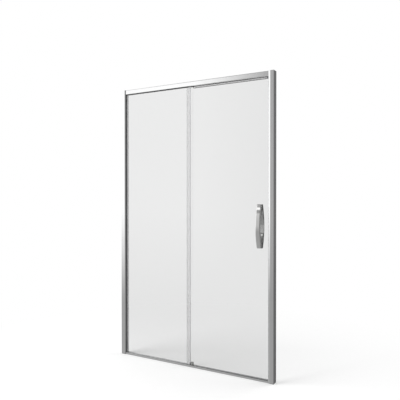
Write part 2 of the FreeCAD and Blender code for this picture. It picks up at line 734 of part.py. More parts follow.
def post_magnet_seal():
    outline = rectangle(
        f"{GROOVE_FLOOR} - magnet_thickness",
        GROOVE_FLOOR,
        "door_plane - magnet_width / 2",
        "door_plane + magnet_width / 2",
    )
    along_z("post_magnet_seal", outline, SEAL_BOTTOM, HEADER_BOTTOM)


def door_stops():
    """Blocks clamped over the track rib, each with a rubber buffer towards the roller bracket."""
    front = f"{WEB_BACK} + stop_play"
    back = f"{TRACK_BACK} - stop_play"
    top = "frame_height - header_wall - stop_play"
    notch = f"{LEDGE_TOP} + rib_height + stop_play"
    outline = [
        (front, LEDGE_TOP),
        (f"{WHEEL_Y} - rib_half - stop_play", LEDGE_TOP),
        (f"{WHEEL_Y} - rib_half - stop_play", notch),
        (f"{WHEEL_Y} + rib_half + stop_play", notch),
        (f"{WHEEL_Y} + rib_half + stop_play", LEDGE_TOP),
        (back, LEDGE_TOP),
        (back, top),
        (front, top),
    ]
    left_face = f"(stop_setback + stop_length - {POST_FACE})"
    right_face = f"({BRACKETS[1][1]} + bracket_length / 2 + stop_gap + buffer_length)"
    plate_middle = f"{PLATE_BACK} - bracket_plate / 2"
    screw_y = f"({WEB_BACK} + stop_screw)"
    spans = (
        ("left", f"({left_face} - stop_length)", left_face, left_face),
        ("right", right_face, f"({POST_FACE} - stop_play)", f"{right_face} - buffer_length"),
    )
    buffers = []
    screws = []
    for name, start, end, buffer_start in spans:
        body = along_x(f"door_stop_{name}", outline, start, end)
        middle = f"(({start} + {end}) / 2)"
        depth = f"{top} - {LEDGE_TOP}"
        drill(body, "XY_Plane", top, depth, [(middle, screw_y)], "stop_screw + 2 * frame_screw_play")
        buffers.append(rod("X", "buffer_diameter", "buffer_length", buffer_start, plate_middle, WHEEL_Z))
        length = f"frame_height - header_wall - {LEDGE_TOP}"
        screws.append(rod("Z", "stop_screw", length, middle, screw_y, LEDGE_TOP))
    group("stop_buffers", buffers)
    group("stop_screws", screws)


# Door pane, its seals and the hanger rail

def door_pane():
    outline = rectangle(DOOR_LEFT, DOOR_RIGHT, DOOR_BOTTOM, DOOR_TOP)
    front = "door_plane - glass_thickness / 2"
    back = "door_plane + glass_thickness / 2"
    holes = [(HANDLE_X, z, "glass_hole") for z in STUD_HEIGHTS]
    ground_edges(along_y("door_glass", outline, front, back, bores=holes))


def door_seals():
    """Left a clip whose fin wipes the fixed pane, right a clip that carries the magnet strip."""
    front = "(door_plane - glass_thickness / 2)"
    back = "(door_plane + glass_thickness / 2)"
    clip = [
        (f"{DOOR_LEFT} + seal_grip", f"{front} - seal_wall"),
        (f"{DOOR_LEFT} + seal_grip", front),
        (DOOR_LEFT, front),
        (DOOR_LEFT, back),
        (f"{DOOR_LEFT} + seal_grip", back),
        (f"{DOOR_LEFT} + seal_grip", f"{back} + seal_wall"),
        (f"{DOOR_LEFT} - seal_wall", f"{back} + seal_wall"),
    ]
    fin_tip = "-fixed_plane + glass_thickness / 2 + fin_play"
    fin = [
        (f"{DOOR_LEFT} - seal_wall", f"{front} - seal_wall"),
        (f"{DOOR_LEFT} + seal_grip / 2", fin_tip),
        (f"{DOOR_LEFT} + seal_grip / 2 + seal_wall", fin_tip),
        (f"{DOOR_LEFT} + seal_wall", f"{front} - seal_wall"),
    ]
    along_z("door_edge_seal", clip + fin, SEAL_BOTTOM, DOOR_TOP)
    magnet = [
        (f"{DOOR_RIGHT} - seal_grip", f"{front} - seal_wall"),
        (f"{DOOR_RIGHT} + magnet_thickness", f"{front} - seal_wall"),
        (f"{DOOR_RIGHT} + magnet_thickness", f"{back} + seal_wall"),
        (f"{DOOR_RIGHT} - seal_grip", f"{back} + seal_wall"),
        (f"{DOOR_RIGHT} - seal_grip", back),
        (DOOR_RIGHT, back),
        (DOOR_RIGHT, front),
        (f"{DOOR_RIGHT} - seal_grip", front),
    ]
    along_z("door_magnet_seal", magnet, SEAL_BOTTOM, HANGER_BOTTOM)


def hanger_outline():
    front = "(door_plane - hanger_width / 2)"
    back = "(door_plane + hanger_width / 2)"
    slot_half = "(glass_thickness / 2 + hanger_pad)"
    slot_top = f"{HANGER_TOP} - hanger_roof"
    return [
        (f"{front} + hanger_round", HANGER_BOTTOM),
        (f"door_plane - {slot_half}", HANGER_BOTTOM),
        (f"door_plane - {slot_half}", slot_top),
        (f"door_plane + {slot_half}", slot_top),
        (f"door_plane + {slot_half}", HANGER_BOTTOM),
        (f"{back} - hanger_round", HANGER_BOTTOM, "hanger_round", BEND_LEFT),
        (back, f"{HANGER_BOTTOM} + hanger_round"),
        (back, f"{HANGER_TOP} - hanger_round", "hanger_round", BEND_LEFT),
        (f"{back} - hanger_round", HANGER_TOP),
        (f"{front} + hanger_round", HANGER_TOP, "hanger_round", BEND_LEFT),
        (front, f"{HANGER_TOP} - hanger_round"),
        (front, f"{HANGER_BOTTOM} + hanger_round", "hanger_round", BEND_LEFT),
    ]


def bracket_screw_places():
    return [
        (f"{middle} {sign} bracket_screw_pitch / 2", BRACKET_SCREW_Y)
        for name, middle in BRACKETS
        for sign in "-+"
    ]


def hanger_rail():
    left = f"({HANGER_LEFT} + hanger_cap)"
    right = f"({HANGER_RIGHT} - hanger_cap)"
    body = along_x("hanger_rail", hanger_outline(), left, right)
    hole = "bracket_screw + 2 * frame_screw_play"
    drill(body, "XY_Plane", HANGER_TOP, "hanger_roof", bracket_screw_places(), hole)
    along_x("hanger_cap_left", hanger_outline(), HANGER_LEFT, left)
    along_x("hanger_cap_right", hanger_outline(), right, HANGER_RIGHT)
    half = "(glass_thickness / 2 + hanger_pad)"
    near = f"door_plane - {half}"
    far = f"door_plane + {half}"
    gasket = trough(near, far, f"{HANGER_TOP} - hanger_roof", DOOR_TOP, HANGER_BOTTOM, "hanger_pad")
    along_x("hanger_gasket", gasket, left, right)


# Roller brackets, axles and wheels

def axle_places():
    return [
        f"({middle} {sign} wheel_base / 2)"
        for name, middle in BRACKETS
        for sign in "-+"
    ]


def roller_brackets():
    foot_top = f"{HANGER_TOP} + bracket_foot"
    plate_top = f"{WHEEL_Z} + bracket_rise"
    outline = [
        (f"{PLATE_FRONT} - bracket_reach", HANGER_TOP),
        (PLATE_BACK, HANGER_TOP),
        (PLATE_BACK, plate_top),
        (PLATE_FRONT, plate_top),
        (PLATE_FRONT, foot_top),
        (f"{PLATE_FRONT} - bracket_reach", foot_top),
    ]
    depth = FreeCAD.Vector(0, 1, 0)
    crest = number(plate_top)
    axle_hole = "axle_diameter + 2 * press_play"
    screw_hole = "bracket_screw + 2 * frame_screw_play"
    for name, middle in BRACKETS:
        start = f"{middle} - bracket_length / 2"
        end = f"{middle} + bracket_length / 2"
        body = along_x(f"roller_bracket_{name}", outline, start, end)
        dress(
            body,
            "Fillet",
            "Radius",
            "bracket_round",
            lambda edge: runs_along(edge, depth) and edge.BoundBox.ZMax > crest - 1e-6,
        )
        axles = [(f"{middle} {sign} wheel_base / 2", WHEEL_Z) for sign in "-+"]
        drill(body, "XZ_Plane", f"-{PLATE_FRONT}", "bracket_plate", axles, axle_hole)
        screws = [(f"{middle} {sign} bracket_screw_pitch / 2", BRACKET_SCREW_Y) for sign in "-+"]
        drill(body, "XY_Plane", foot_top, "bracket_foot", screws, screw_hole)


def bracket_screws():
    seat = f"({HANGER_TOP} + bracket_foot)"
    length = "(bracket_foot + hanger_roof - hanger_pad)"
    screws = []
    for x, y in bracket_screw_places():
        screws.append(rod("Z", "bracket_screw", length, x, y, f"{seat} - {length}"))
        screws.append(rod("Z", "bracket_screw_head", "bracket_head_height", x, y, seat))
    group("bracket_screws", screws)


def wheel_axles():
    wheel_front = f"({WHEEL_BACK} - wheel_width)"
    clip_start = f"({WHEEL_BACK} + wheel_play)"
    collar = f"{wheel_front} - wheel_play - {PLATE_BACK}"
    parts = []
    for x in axle_places():
        parts.append(rod("Y", "axle_collar", "axle_head", x, f"{PLATE_FRONT} - axle_head", WHEEL_Z))
        shank = f"{clip_start} + axle_clip - {PLATE_FRONT}"
        parts.append(rod("Y", "axle_diameter", shank, x, PLATE_FRONT, WHEEL_Z))
        parts.append(rod("Y", "axle_collar", collar, x, PLATE_BACK, WHEEL_Z))
        parts.append(rod("Y", "axle_collar", "axle_clip", x, clip_start, WHEEL_Z))
    group("wheel_axles", parts)


def wheels():
    half = "wheel_width / 2"
    bore = "bearing_outside / 2"
    groove = bow_radius("tread_half", "(wheel_radius - tread_radius)")
    tyre = [
        (f"-{half}", bore),
        (half, bore),
        (half, "wheel_radius"),
        ("tread_half", "wheel_radius", groove, BEND_RIGHT),
        ("-tread_half", "wheel_radius"),
        (f"-{half}", "wheel_radius"),
    ]
    side = "bearing_width / 2"
    shield = f"({side} - bearing_shield)"
    inside = "(axle_diameter / 2 + axle_play)"
    outside = "(bearing_outside / 2 - press_play)"
    bearing = [
        (f"-{side}", inside),
        (side, inside),
        (side, f"{inside} + bearing_rim"),
        (shield, f"{inside} + bearing_rim"),
        (shield, f"{outside} - bearing_rim"),
        (side, f"{outside} - bearing_rim"),
        (side, outside),
        (f"-{side}", outside),
        (f"-{side}", f"{outside} - bearing_rim"),
        (f"-{shield}", f"{outside} - bearing_rim"),
        (f"-{shield}", f"{inside} + bearing_rim"),
        (f"-{side}", f"{inside} + bearing_rim"),
    ]
    for index, x in enumerate(axle_places(), start=1):
        turned(f"wheel_tyre_{index}", tyre, x, WHEEL_Y, WHEEL_Z)
        turned(f"wheel_bearing_{index}", bearing, x, WHEEL_Y, WHEEL_Z)


# Handles

def handle(label, side, foot_face):
    """Bow handle: side is LEFT where it stands off to the outside, RIGHT to the inside."""
    bend = BEND_LEFT if side == LEFT else BEND_RIGHT
    end = "handle_length / 2"
    inner_end = f"({end} - handle_foot)"

    def off_glass(distance):
        return f"{foot_face} + {side} * ({distance})"

    outline = [
        (off_glass("0"), f"handle_height + {end}"),
        (
            off_glass("handle_rise"),
            f"handle_height + {end}",
            bow_radius(end, "(handle_bow - handle_rise)"),
            bend,
        ),
        (off_glass("handle_rise"), f"handle_height - {end}"),
        (off_glass("0"), f"handle_height - {end}"),
        (
            off_glass("0"),
            f"handle_height - {inner_end}",
            bow_radius(inner_end, "(handle_bow - handle_band)"),
            -bend,
        ),
        (off_glass("0"), f"handle_height + {inner_end}"),
    ]
    start = f"{HANDLE_X} - handle_width / 2"
    body = along_x(label, outline, start, f"{HANDLE_X} + handle_width / 2")
    outer = number(off_glass("handle_rise"))
    sign = int(side)
    dress(
        body,
        "Fillet",
        "Radius",
        "handle_round",
        lambda edge: all(sign * (vertex.Point.y - outer) > -1e-6 for vertex in edge.Vertexes),
    )
    depth = "stud_bite + stud_play"
    plane = f"-({foot_face})" if side == RIGHT else f"-({foot_face} - ({depth}))"
    holes = [(HANDLE_X, z) for z in STUD_HEIGHTS]
    drill(body, "XZ_Plane", plane, depth, holes, "handle_stud + 2 * stud_play")


def handles():
    front = "(door_plane - glass_thickness / 2)"
    back = "(door_plane + glass_thickness / 2)"
    front_foot = f"({front} - washer_thickness)"
    back_foot = f"({back} + washer_thickness)"
    handle("outer_handle", LEFT, front_foot)
    handle("inner_handle", RIGHT, back_foot)
    bore = "handle_stud + 2 * stud_play"
    bush_outside = "glass_hole - 2 * stud_play"
    washers = []
    bushes = []
    studs = []
    for z in STUD_HEIGHTS:
        for face in (front_foot, back):
            disc = rod("Y", "handle_washer", "washer_thickness", HANDLE_X, face, z)
            washers.append(hollow(disc, rod("Y", bore, "washer_thickness", HANDLE_X, face, z)))
        sleeve = rod("Y", bush_outside, "glass_thickness", HANDLE_X, front, z)
        bushes.append(hollow(sleeve, rod("Y", bore, "glass_thickness", HANDLE_X, front, z)))
        length = f"{back_foot} - {front_foot} + 2 * stud_bite"
        studs.append(rod("Y", "handle_stud", length, HANDLE_X, f"{front_foot} - stud_bite", z))
    group("handle_washers", washers)
    group("handle_bushes", bushes)
    group("handle_studs", studs)


for side_name, side_sign in SIDES:
    wall_channel(side_name, side_sign)
    frame_post(side_name, side_sign)
    post_cap(side_name, side_sign)
    post_fasteners(side_name, side_sign)
header_rail()
corner_screws("header_screws", HEADER_PORTS)
sill_rail()
corner_screws("sill_screws", SILL_PORTS)
fixed_pane()
fixed_gaskets()
fixed_edge_seal()
filler_strips()
sill_guide()
post_magnet_seal()
door_stops()
door_pane()
door_seals()
hanger_rail()
roller_brackets()
bracket_screws()
wheel_axles()
wheels()
handles()

doc.recompute()
failed = [item.Label for item in doc.Objects if {"Invalid", "Error"} & set(item.State)]
failed += [item.Label for item in pieces if item.Shape.isNull() or not item.Shape.isValid()]
if failed:
    raise RuntimeError(f"pieces that failed: {failed}")

os.makedirs("parts", exist_ok=True)
for item in pieces:
    item.Shape.exportStep(os.path.join("parts", f"{item.Label}.step"))
print(f"{len(pieces)} pieces written")
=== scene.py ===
import math

import bmesh
import bpy
from bpy.props import FloatProperty, FloatVectorProperty, IntProperty, PointerProperty
from mathutils import Matrix, Vector


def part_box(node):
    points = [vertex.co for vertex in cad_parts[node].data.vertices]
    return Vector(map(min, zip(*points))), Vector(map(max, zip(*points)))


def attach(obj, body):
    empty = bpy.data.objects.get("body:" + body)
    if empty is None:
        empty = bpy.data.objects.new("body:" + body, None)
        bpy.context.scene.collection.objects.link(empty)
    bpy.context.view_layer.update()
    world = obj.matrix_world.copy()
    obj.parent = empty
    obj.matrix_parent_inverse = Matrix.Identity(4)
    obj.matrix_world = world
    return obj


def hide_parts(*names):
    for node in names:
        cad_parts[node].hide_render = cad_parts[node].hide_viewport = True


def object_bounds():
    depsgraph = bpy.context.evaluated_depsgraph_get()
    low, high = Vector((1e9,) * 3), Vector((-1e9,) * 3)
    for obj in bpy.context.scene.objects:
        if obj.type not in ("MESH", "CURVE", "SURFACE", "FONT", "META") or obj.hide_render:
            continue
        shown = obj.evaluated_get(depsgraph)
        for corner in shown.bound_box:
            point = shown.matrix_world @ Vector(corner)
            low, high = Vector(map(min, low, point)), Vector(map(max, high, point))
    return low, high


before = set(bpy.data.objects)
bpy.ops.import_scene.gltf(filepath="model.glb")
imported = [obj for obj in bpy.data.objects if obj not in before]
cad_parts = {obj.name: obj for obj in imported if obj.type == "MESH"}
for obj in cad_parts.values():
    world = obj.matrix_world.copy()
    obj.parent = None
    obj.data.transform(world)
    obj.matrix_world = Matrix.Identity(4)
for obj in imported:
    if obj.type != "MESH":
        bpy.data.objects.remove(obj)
cad_box = [list(corner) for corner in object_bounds()]

bl_info = {
    "name": "Sliding Shower Door",
    "version": (1, 0, 0),
    "blender": (4, 5, 0),
    "location": "3D View > Sidebar > Shower Door",
    "description": "Finishes, small fixings and studio of a framed sliding shower door",
    "category": "Object",
}

MM = 0.001
X_AXIS = 0
Y_AXIS = 1
Z_AXIS = 2
WHITE = (1.0, 1.0, 1.0, 1.0)

UPRIGHT_PROFILES = (
    "wall_channel_left", "wall_channel_right", "frame_post_left", "frame_post_right",
    "post_cap_left", "post_cap_right",
)
LEVEL_PROFILES = ("header_rail", "sill_rail")
SATIN_PROFILES = ("hanger_rail",)
PANES = ("fixed_glass", "door_glass")
SEALS = ("fixed_edge_seal", "door_edge_seal", "door_magnet_seal")
RUBBERS = (
    "gasket_fixed_side", "gasket_fixed_top", "gasket_fixed_bottom", "filler_sill", "hanger_gasket",
    "stop_buffers", "post_magnet_seal",
)
FILLERS = ("filler_header", "filler_post_left", "filler_post_right")
DARK_MOULDINGS = ("hanger_cap_left", "hanger_cap_right", "door_stop_left", "door_stop_right")
GUIDES = ("sill_guide",)
CLEAR_MOULDINGS = ("handle_washers", "handle_bushes")
HANDLES = ("outer_handle", "inner_handle")
SCREW_COVERS = ("screw_covers_left", "screw_covers_right")
WHEELS = range(1, 5)
TYRES = tuple(f"wheel_tyre_{index}" for index in WHEELS)
BEARINGS = tuple(f"wheel_bearing_{index}" for index in WHEELS)
STEEL_PARTS = ("roller_bracket_left", "roller_bracket_right", "wheel_axles")
# Node, body and axis of the screws and studs, and the setting that holds their pitch.
SCREWS = (
    ("post_screws_left", "frame", Y_AXIS, "coarse_pitch"),
    ("post_screws_right", "frame", Y_AXIS, "coarse_pitch"),
    ("header_screws", "frame", X_AXIS, "coarse_pitch"),
    ("sill_screws", "frame", X_AXIS, "coarse_pitch"),
    ("guide_screw", "frame", Z_AXIS, "coarse_pitch"),
    ("stop_screws", "frame", Z_AXIS, "fine_pitch"),
    ("bracket_screws", "door", Z_AXIS, "fine_pitch"),
    ("handle_studs", "door", Y_AXIS, "fine_pitch"),
)


class ProfileFinish(bpy.types.PropertyGroup):
    """Polished and anodised aluminium of the posts and rails"""

    colour: FloatVectorProperty(
        name="Colour", description="Metal colour", subtype="COLOR",
        default=(0.955, 0.958, 0.96), min=0.0, max=1.0,
    )
    least_roughness: FloatProperty(
        name="Least roughness", description="Roughness between die lines", default=0.07, min=0.0, max=1.0
    )
    most_roughness: FloatProperty(
        name="Most roughness", description="Roughness on die lines and marks", default=0.16, min=0.0, max=1.0
    )
    satin_colour: FloatVectorProperty(
        name="Satin colour", description="Metal colour of the satin hanger rail", subtype="COLOR",
        default=(0.82, 0.822, 0.826), min=0.0, max=1.0,
    )
    satin_roughness: FloatProperty(
        name="Satin roughness", description="Mean roughness of the hanger rail", default=0.4, min=0.0, max=1.0
    )
    satin_metal: FloatProperty(
        name="Satin metal", description="Share of bare metal in the satin finish", subtype="FACTOR",
        default=0.4, min=0.0, max=1.0,
    )
    die_line_pitch: FloatProperty(
        name="Die line pitch", description="Usual distance between die lines", default=0.6 * MM, unit="LENGTH"
    )
    die_line_depth: FloatProperty(
        name="Die line depth", description="Depth of the die lines", default=0.004 * MM, unit="LENGTH",
        precision=6,
    )


class ChromeFinish(bpy.types.PropertyGroup):
    """Chrome plate of the handles and the screw covers"""

    colour: FloatVectorProperty(
        name="Colour", description="Metal colour", subtype="COLOR",
        default=(0.94, 0.94, 0.933), min=0.0, max=1.0,
    )
    least_roughness: FloatProperty(
        name="Least roughness", description="Roughness of the clean plate", default=0.04, min=0.0, max=1.0
    )
    most_roughness: FloatProperty(
        name="Most roughness", description="Roughness under finger marks", default=0.12, min=0.0, max=1.0
    )


class GlassFinish(bpy.types.PropertyGroup):
    """Clear toughened glass of both panes"""

    tint: FloatVectorProperty(
        name="Tint", description="What a pane lets through", subtype="COLOR",
        default=(0.823, 0.825, 0.824), min=0.0, max=1.0,
    )
    edge_tint: FloatVectorProperty(
        name="Edge tint", description="Glass seen through its edge", subtype="COLOR",
        default=(0.84, 0.87, 0.86), min=0.0, max=1.0,
    )
    edge_width: FloatProperty(
        name="Ground edge", description="Width of the ground edge", default=1.0 * MM, unit="LENGTH"
    )
    refraction: FloatProperty(
        name="Refractive index", description="Refractive index of the glass", default=1.5, min=1.0, max=2.0
    )


class SealFinish(bpy.types.PropertyGroup):
    """Translucent soft plastic of the seal strips"""

    colour: FloatVectorProperty(
        name="Colour", description="Colour of the strip", subtype="COLOR",
        default=(0.59, 0.575, 0.67), min=0.0, max=1.0,
    )
    roughness: FloatProperty(name="Roughness", description="Surface roughness", default=0.3, min=0.0, max=1.0)
    cover: FloatProperty(
        name="Cover", description="Share of what lies behind that one skin of the strip hides",
        subtype="FACTOR", default=0.03, min=0.0, max=1.0,
    )


class MouldingFinish(bpy.types.PropertyGroup):
    """Moulded plastic and rubber parts"""

    rubber: FloatVectorProperty(
        name="Rubber", description="Gaskets, buffers and the filler strip of the sill", subtype="COLOR",
        default=(0.07, 0.07, 0.074), min=0.0, max=1.0,
    )
    filler: FloatVectorProperty(
        name="Filler", description="Filler strips of the header and the posts", subtype="COLOR",
        default=(0.85, 0.85, 0.855), min=0.0, max=1.0,
    )
    plastic: FloatVectorProperty(
        name="Dark plastic", description="Door stops and end caps", subtype="COLOR",
        default=(0.2, 0.2, 0.205), min=0.0, max=1.0,
    )
    guide: FloatVectorProperty(
        name="Guide plastic", description="Guide block on the sill", subtype="COLOR",
        default=(0.46, 0.465, 0.45), min=0.0, max=1.0,
    )
    nylon: FloatVectorProperty(
        name="Nylon", description="Wheel tyres", subtype="COLOR",
        default=(0.80, 0.80, 0.77), min=0.0, max=1.0,
    )
    clear: FloatVectorProperty(
        name="Clear plastic", description="Washers and bushes of the handles", subtype="COLOR",
        default=(0.86, 0.87, 0.88), min=0.0, max=1.0,
    )
    cloud: FloatVectorProperty(
        name="Cloudy plastic", description="Clouds in the clear plastic", subtype="COLOR",
        default=(0.74, 0.75, 0.77), min=0.0, max=1.0,
    )
    grain: FloatProperty(
        name="Grain", description="Size of the moulded grain", default=0.5 * MM, unit="LENGTH", precision=5
    )


class SteelFinish(bpy.types.PropertyGroup):
    """Stainless steel of the fixings and the roller brackets"""

    colour: FloatVectorProperty(
        name="Colour", description="Metal colour", subtype="COLOR",
        default=(0.58, 0.575, 0.565), min=0.0, max=1.0,
    )
    roughness: FloatProperty(name="Roughness", description="Mean roughness", default=0.3, min=0.0, max=1.0)


class GasketLip(bpy.types.PropertyGroup):
    """Soft lips of the glazing gaskets, where they lie on the glass"""

    height: FloatProperty(
        name="Height", description="How far a lip reaches on to the glass", default=1.4 * MM, unit="LENGTH",
        precision=5,
    )
    depth: FloatProperty(
        name="Depth", description="How far a lip stands off the glass", default=1.6 * MM, unit="LENGTH",
        precision=5,
    )


class ScrewCut(bpy.types.PropertyGroup):
    """Threads and drives of the screws and studs"""

    coarse_pitch: FloatProperty(
        name="Coarse pitch", description="Pitch of the self-tapping screws", default=1.4 * MM, unit="LENGTH",
        precision=5,
    )
    fine_pitch: FloatProperty(
        name="Fine pitch", description="Pitch of the studs and machine screws", default=0.8 * MM,
        unit="LENGTH", precision=5,
    )
    thread_depth: FloatProperty(
        name="Thread depth", description="Depth of a thread as a share of its pitch", subtype="FACTOR",
        default=0.36, min=0.0, max=0.6,
    )
    drive: FloatProperty(
        name="Drive", description="Size of the drive as a share of the head", subtype="FACTOR",
        default=0.52, min=0.2, max=0.6,
    )
    sides: IntProperty(
        name="Sides", description="Sides of a turned shape, in dozens", default=2, min=1, max=6
    )


class StudioSettings(bpy.types.PropertyGroup):
    """Camera, floor and light"""

    camera_place: FloatVectorProperty(
        name="Camera", description="Where the camera stands", subtype="TRANSLATION",
        default=(1.7221, -2.8556, 1.1664),
    )
    camera_pan: FloatProperty(
        name="Pan", description="Turn to the left of straight on", subtype="ANGLE",
        default=math.radians(30.196),
    )
    camera_tilt: FloatProperty(
        name="Tilt", description="Tilt below level", subtype="ANGLE", default=math.radians(0.4055)
    )
    lens: FloatProperty(name="Lens", description="Focal length in millimetres", default=43.854, min=1.0)
    floor_size: FloatProperty(name="Floor", description="Side of the floor", default=16.0, unit="LENGTH")
    floor_colour: FloatVectorProperty(
        name="Floor colour", description="Colour of the floor", subtype="COLOR", default=(0.84, 0.84, 0.84)
    )
    floor_lift: FloatProperty(
        name="Floor lift", description="Light that the floor near the door adds for the camera",
        default=0.24, min=0.0,
    )
    floor_near: FloatProperty(
        name="Near floor", description="Distance at which the floor starts to whiten", default=0.8,
        unit="LENGTH",
    )
    floor_far: FloatProperty(
        name="Far floor", description="Distance at which the floor is white", default=2.0, unit="LENGTH"
    )
    ambient: FloatProperty(name="Ambient", description="Light from all round", default=0.55, min=0.0)
    key_place: FloatVectorProperty(
        name="Key lamp", description="Where the large lamp hangs", subtype="TRANSLATION",
        default=(-2.6, -2.8, 3.6),
    )
    key_power: FloatProperty(
        name="Key light", description="Power of the large lamp", default=130.0, min=0.0, unit="POWER"
    )
    fill_place: FloatVectorProperty(
        name="Fill lamp", description="Where the weaker lamp hangs", subtype="TRANSLATION",
        default=(2.8, 2.4, 3.4),
    )
    fill_share: FloatProperty(
        name="Fill light", description="Power of the weaker lamp as a share of the large one's",
        subtype="FACTOR", default=0.4, min=0.0, max=1.0,
    )
    lamp_size: FloatProperty(name="Lamps", description="Side of either lamp", default=3.0, unit="LENGTH")


class ShowerDoorSettings(bpy.types.PropertyGroup):
    """All settings of the shower door"""

    profile: PointerProperty(type=ProfileFinish, name="Profiles", description="Aluminium profiles")
    chrome: PointerProperty(type=ChromeFinish, name="Chrome", description="Chromed parts")
    glass: PointerProperty(type=GlassFinish, name="Glass", description="Both panes")
    seal: PointerProperty(type=SealFinish, name="Seals", description="Clear seal strips")
    moulding: PointerProperty(type=MouldingFinish, name="Mouldings", description="Rubber and plastic parts")
    steel: PointerProperty(type=SteelFinish, name="Steel", description="Stainless steel parts")
    lip: PointerProperty(type=GasketLip, name="Lips", description="Lips of the glazing gaskets")
    screw: PointerProperty(type=ScrewCut, name="Screws", description="Threads and drives")
    studio: PointerProperty(type=StudioSettings, name="Studio", description="Camera, floor and light")


def settings_of(context):
    return context.scene.shower_door


def opaque(colour):
    return (*colour, 1.0)


def scaled(colour, share):
    return [channel * share for channel in colour]


def link(piece):
    bpy.context.scene.collection.objects.link(piece)


# Range in which a noise mostly lies.
NOISE_RANGE = (0.3, 0.7)


class NodeSheet:
    """A node tree with short calls to add and join its nodes"""

    def __init__(self, tree):
        self.tree = tree

    def put(self, socket, value):
        """Join another node's output to a socket, or set a plain value on it."""
        if isinstance(value, bpy.types.NodeSocket):
            self.tree.links.new(value, socket)
        else:
            socket.default_value = value

    def add(self, kind, inputs=None, **settings):
        node = self.tree.nodes.new(kind)
        for name, value in settings.items():
            setattr(node, name, value)
        for key, value in (inputs or {}).items():
            self.put(node.inputs[key], value)
        return node

    def object_point(self):
        return self.add("ShaderNodeTexCoord").outputs["Object"]

    def noise(self, repeats, detail=2.0, roughness=0.5):
        """Noise on the object's own place, with its repeats per metre, or those along each axis."""
        scale = (repeats,) * 3 if isinstance(repeats, float) else repeats
        point = self.add("ShaderNodeMapping", {"Vector": self.object_point(), "Scale": scale})
        texture = {"Vector": point.outputs["Vector"], "Scale": 1.0, "Detail": detail, "Roughness": roughness}
        return self.add("ShaderNodeTexNoise", texture).outputs["Fac"]

    def math(self, operation, first, second):
        return self.add("ShaderNodeMath", {0: first, 1: second}, operation=operation).outputs["Value"]

    def remap(self, value, low, high, start, end):
        """Value from low..high to start..end, held at the ends."""
        ends = {"Value": value, "From Min": low, "From Max": high, "To Min": start, "To Max": end}
        return self.add("ShaderNodeMapRange", ends).outputs["Result"]

    def spread(self, noise, start, end):
        """Start where a noise is low, end where it is high."""
        return self.remap(noise, *NOISE_RANGE, start, end)

    def blend(self, share, first, second):
        """First colour where share is 0, second where it is 1."""
        node = self.add("ShaderNodeMix", {"Factor": share}, data_type="RGBA")
        self.put(node.inputs["A"], first)
        self.put(node.inputs["B"], second)
        return node.outputs["Result"]

    def mix(self, share, first, second):
        """First shader where share is 0, second where it is 1."""
        return self.add("ShaderNodeMixShader", {0: share, 1: first, 2: second}).outputs["Shader"]

    def bump(self, height, depth, under=None):
        """Normal of a relief of some depth, on top of another one if that is given."""
        values = {"Height": height, "Distance": depth, "Strength": 1.0}
        if under is not None:
            values["Normal"] = under
        return self.add("ShaderNodeBump", values).outputs["Normal"]


class Finish(NodeSheet):
    """Node sheet of a new material, with its main shader, whose plain values are set by name"""

    def __init__(self, name, **values):
        self.material = bpy.data.materials.new(name)
        self.material.use_nodes = True
        super().__init__(self.material.node_tree)
        self.shader = self.tree.nodes["Principled BSDF"]
        for key, value in values.items():
            self.feed(key.replace("_", " "), value)

    def feed(self, key, value):
        self.put(self.shader.inputs[key], value)

    def colour(self, share, first, second):
        """Base colour from the first, where share is 0, to the second, where it is 1."""
        self.feed("Base Color", self.blend(share, opaque(first), opaque(second)))

    def with_other(self, share, other):
        """The main shader where share is 0, and another one where it is 1."""
        return self.mix(share, self.shader.outputs["BSDF"], other)

    def show(self, shader):
        """Make a shader the surface of the material."""
        self.put(self.tree.nodes["Material Output"].inputs["Surface"], shader)


def dress(names, material):
    """Give CAD nodes a finish."""
    for name in names:
        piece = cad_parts[name]
        if not piece.material_slots:
            raise RuntimeError(f"{name} has no material slot")
        for slot in piece.material_slots:
            slot.material = material


# Repeats per metre along a die line, and of the dull marks and slow waves of a profile.
DIE_LINE_REPEATS = 0.8
MARK_REPEATS = 9.0
WAVE_REPEATS = 14.0
WAVE_DEPTH = 0.05 * MM
# Noise from which lines and marks show to where they are full, and the wear that either adds at most.
LINE_RANGE = (0.45, 0.7)
MARK_RANGE = (0.5, 0.75)
WEAR_OF_EACH = 0.5
WORN_SHARE = 0.93
SATIN_SPREAD = 0.05


def profile_finish(name, values, along, colour, least_roughness, most_roughness, metal=1.0):
    """Anodised extrusion with die lines along one axis, a slow waviness and a few dull marks."""
    finish = Finish(name, Metallic=metal)
    repeats = [1.0 / values.die_line_pitch] * 3
    repeats[along] = DIE_LINE_REPEATS
    lines = finish.noise(repeats, detail=3.0, roughness=0.6)
    marks = finish.noise(MARK_REPEATS, detail=5.0, roughness=0.62)
    lined = finish.remap(lines, *LINE_RANGE, 0.0, WEAR_OF_EACH)
    marked = finish.remap(marks, *MARK_RANGE, 0.0, WEAR_OF_EACH)
    worn = finish.math("ADD", lined, marked)
    finish.feed("Roughness", finish.remap(worn, 0.0, 1.0, least_roughness, most_roughness))
    finish.colour(worn, colour, scaled(colour, WORN_SHARE))
    wavy = finish.bump(finish.noise(WAVE_REPEATS, detail=1.0), WAVE_DEPTH)
    finish.feed("Normal", finish.bump(lines, values.die_line_depth, under=wavy))
    return finish.material


# Repeats per metre of the finger marks and the orange peel of chrome plate.
FINGER_REPEATS = (60.0, 60.0, 45.0)
SMUDGED_SHARE = 0.95
PEEL_REPEATS = 220.0
PEEL_DEPTH = 0.004 * MM


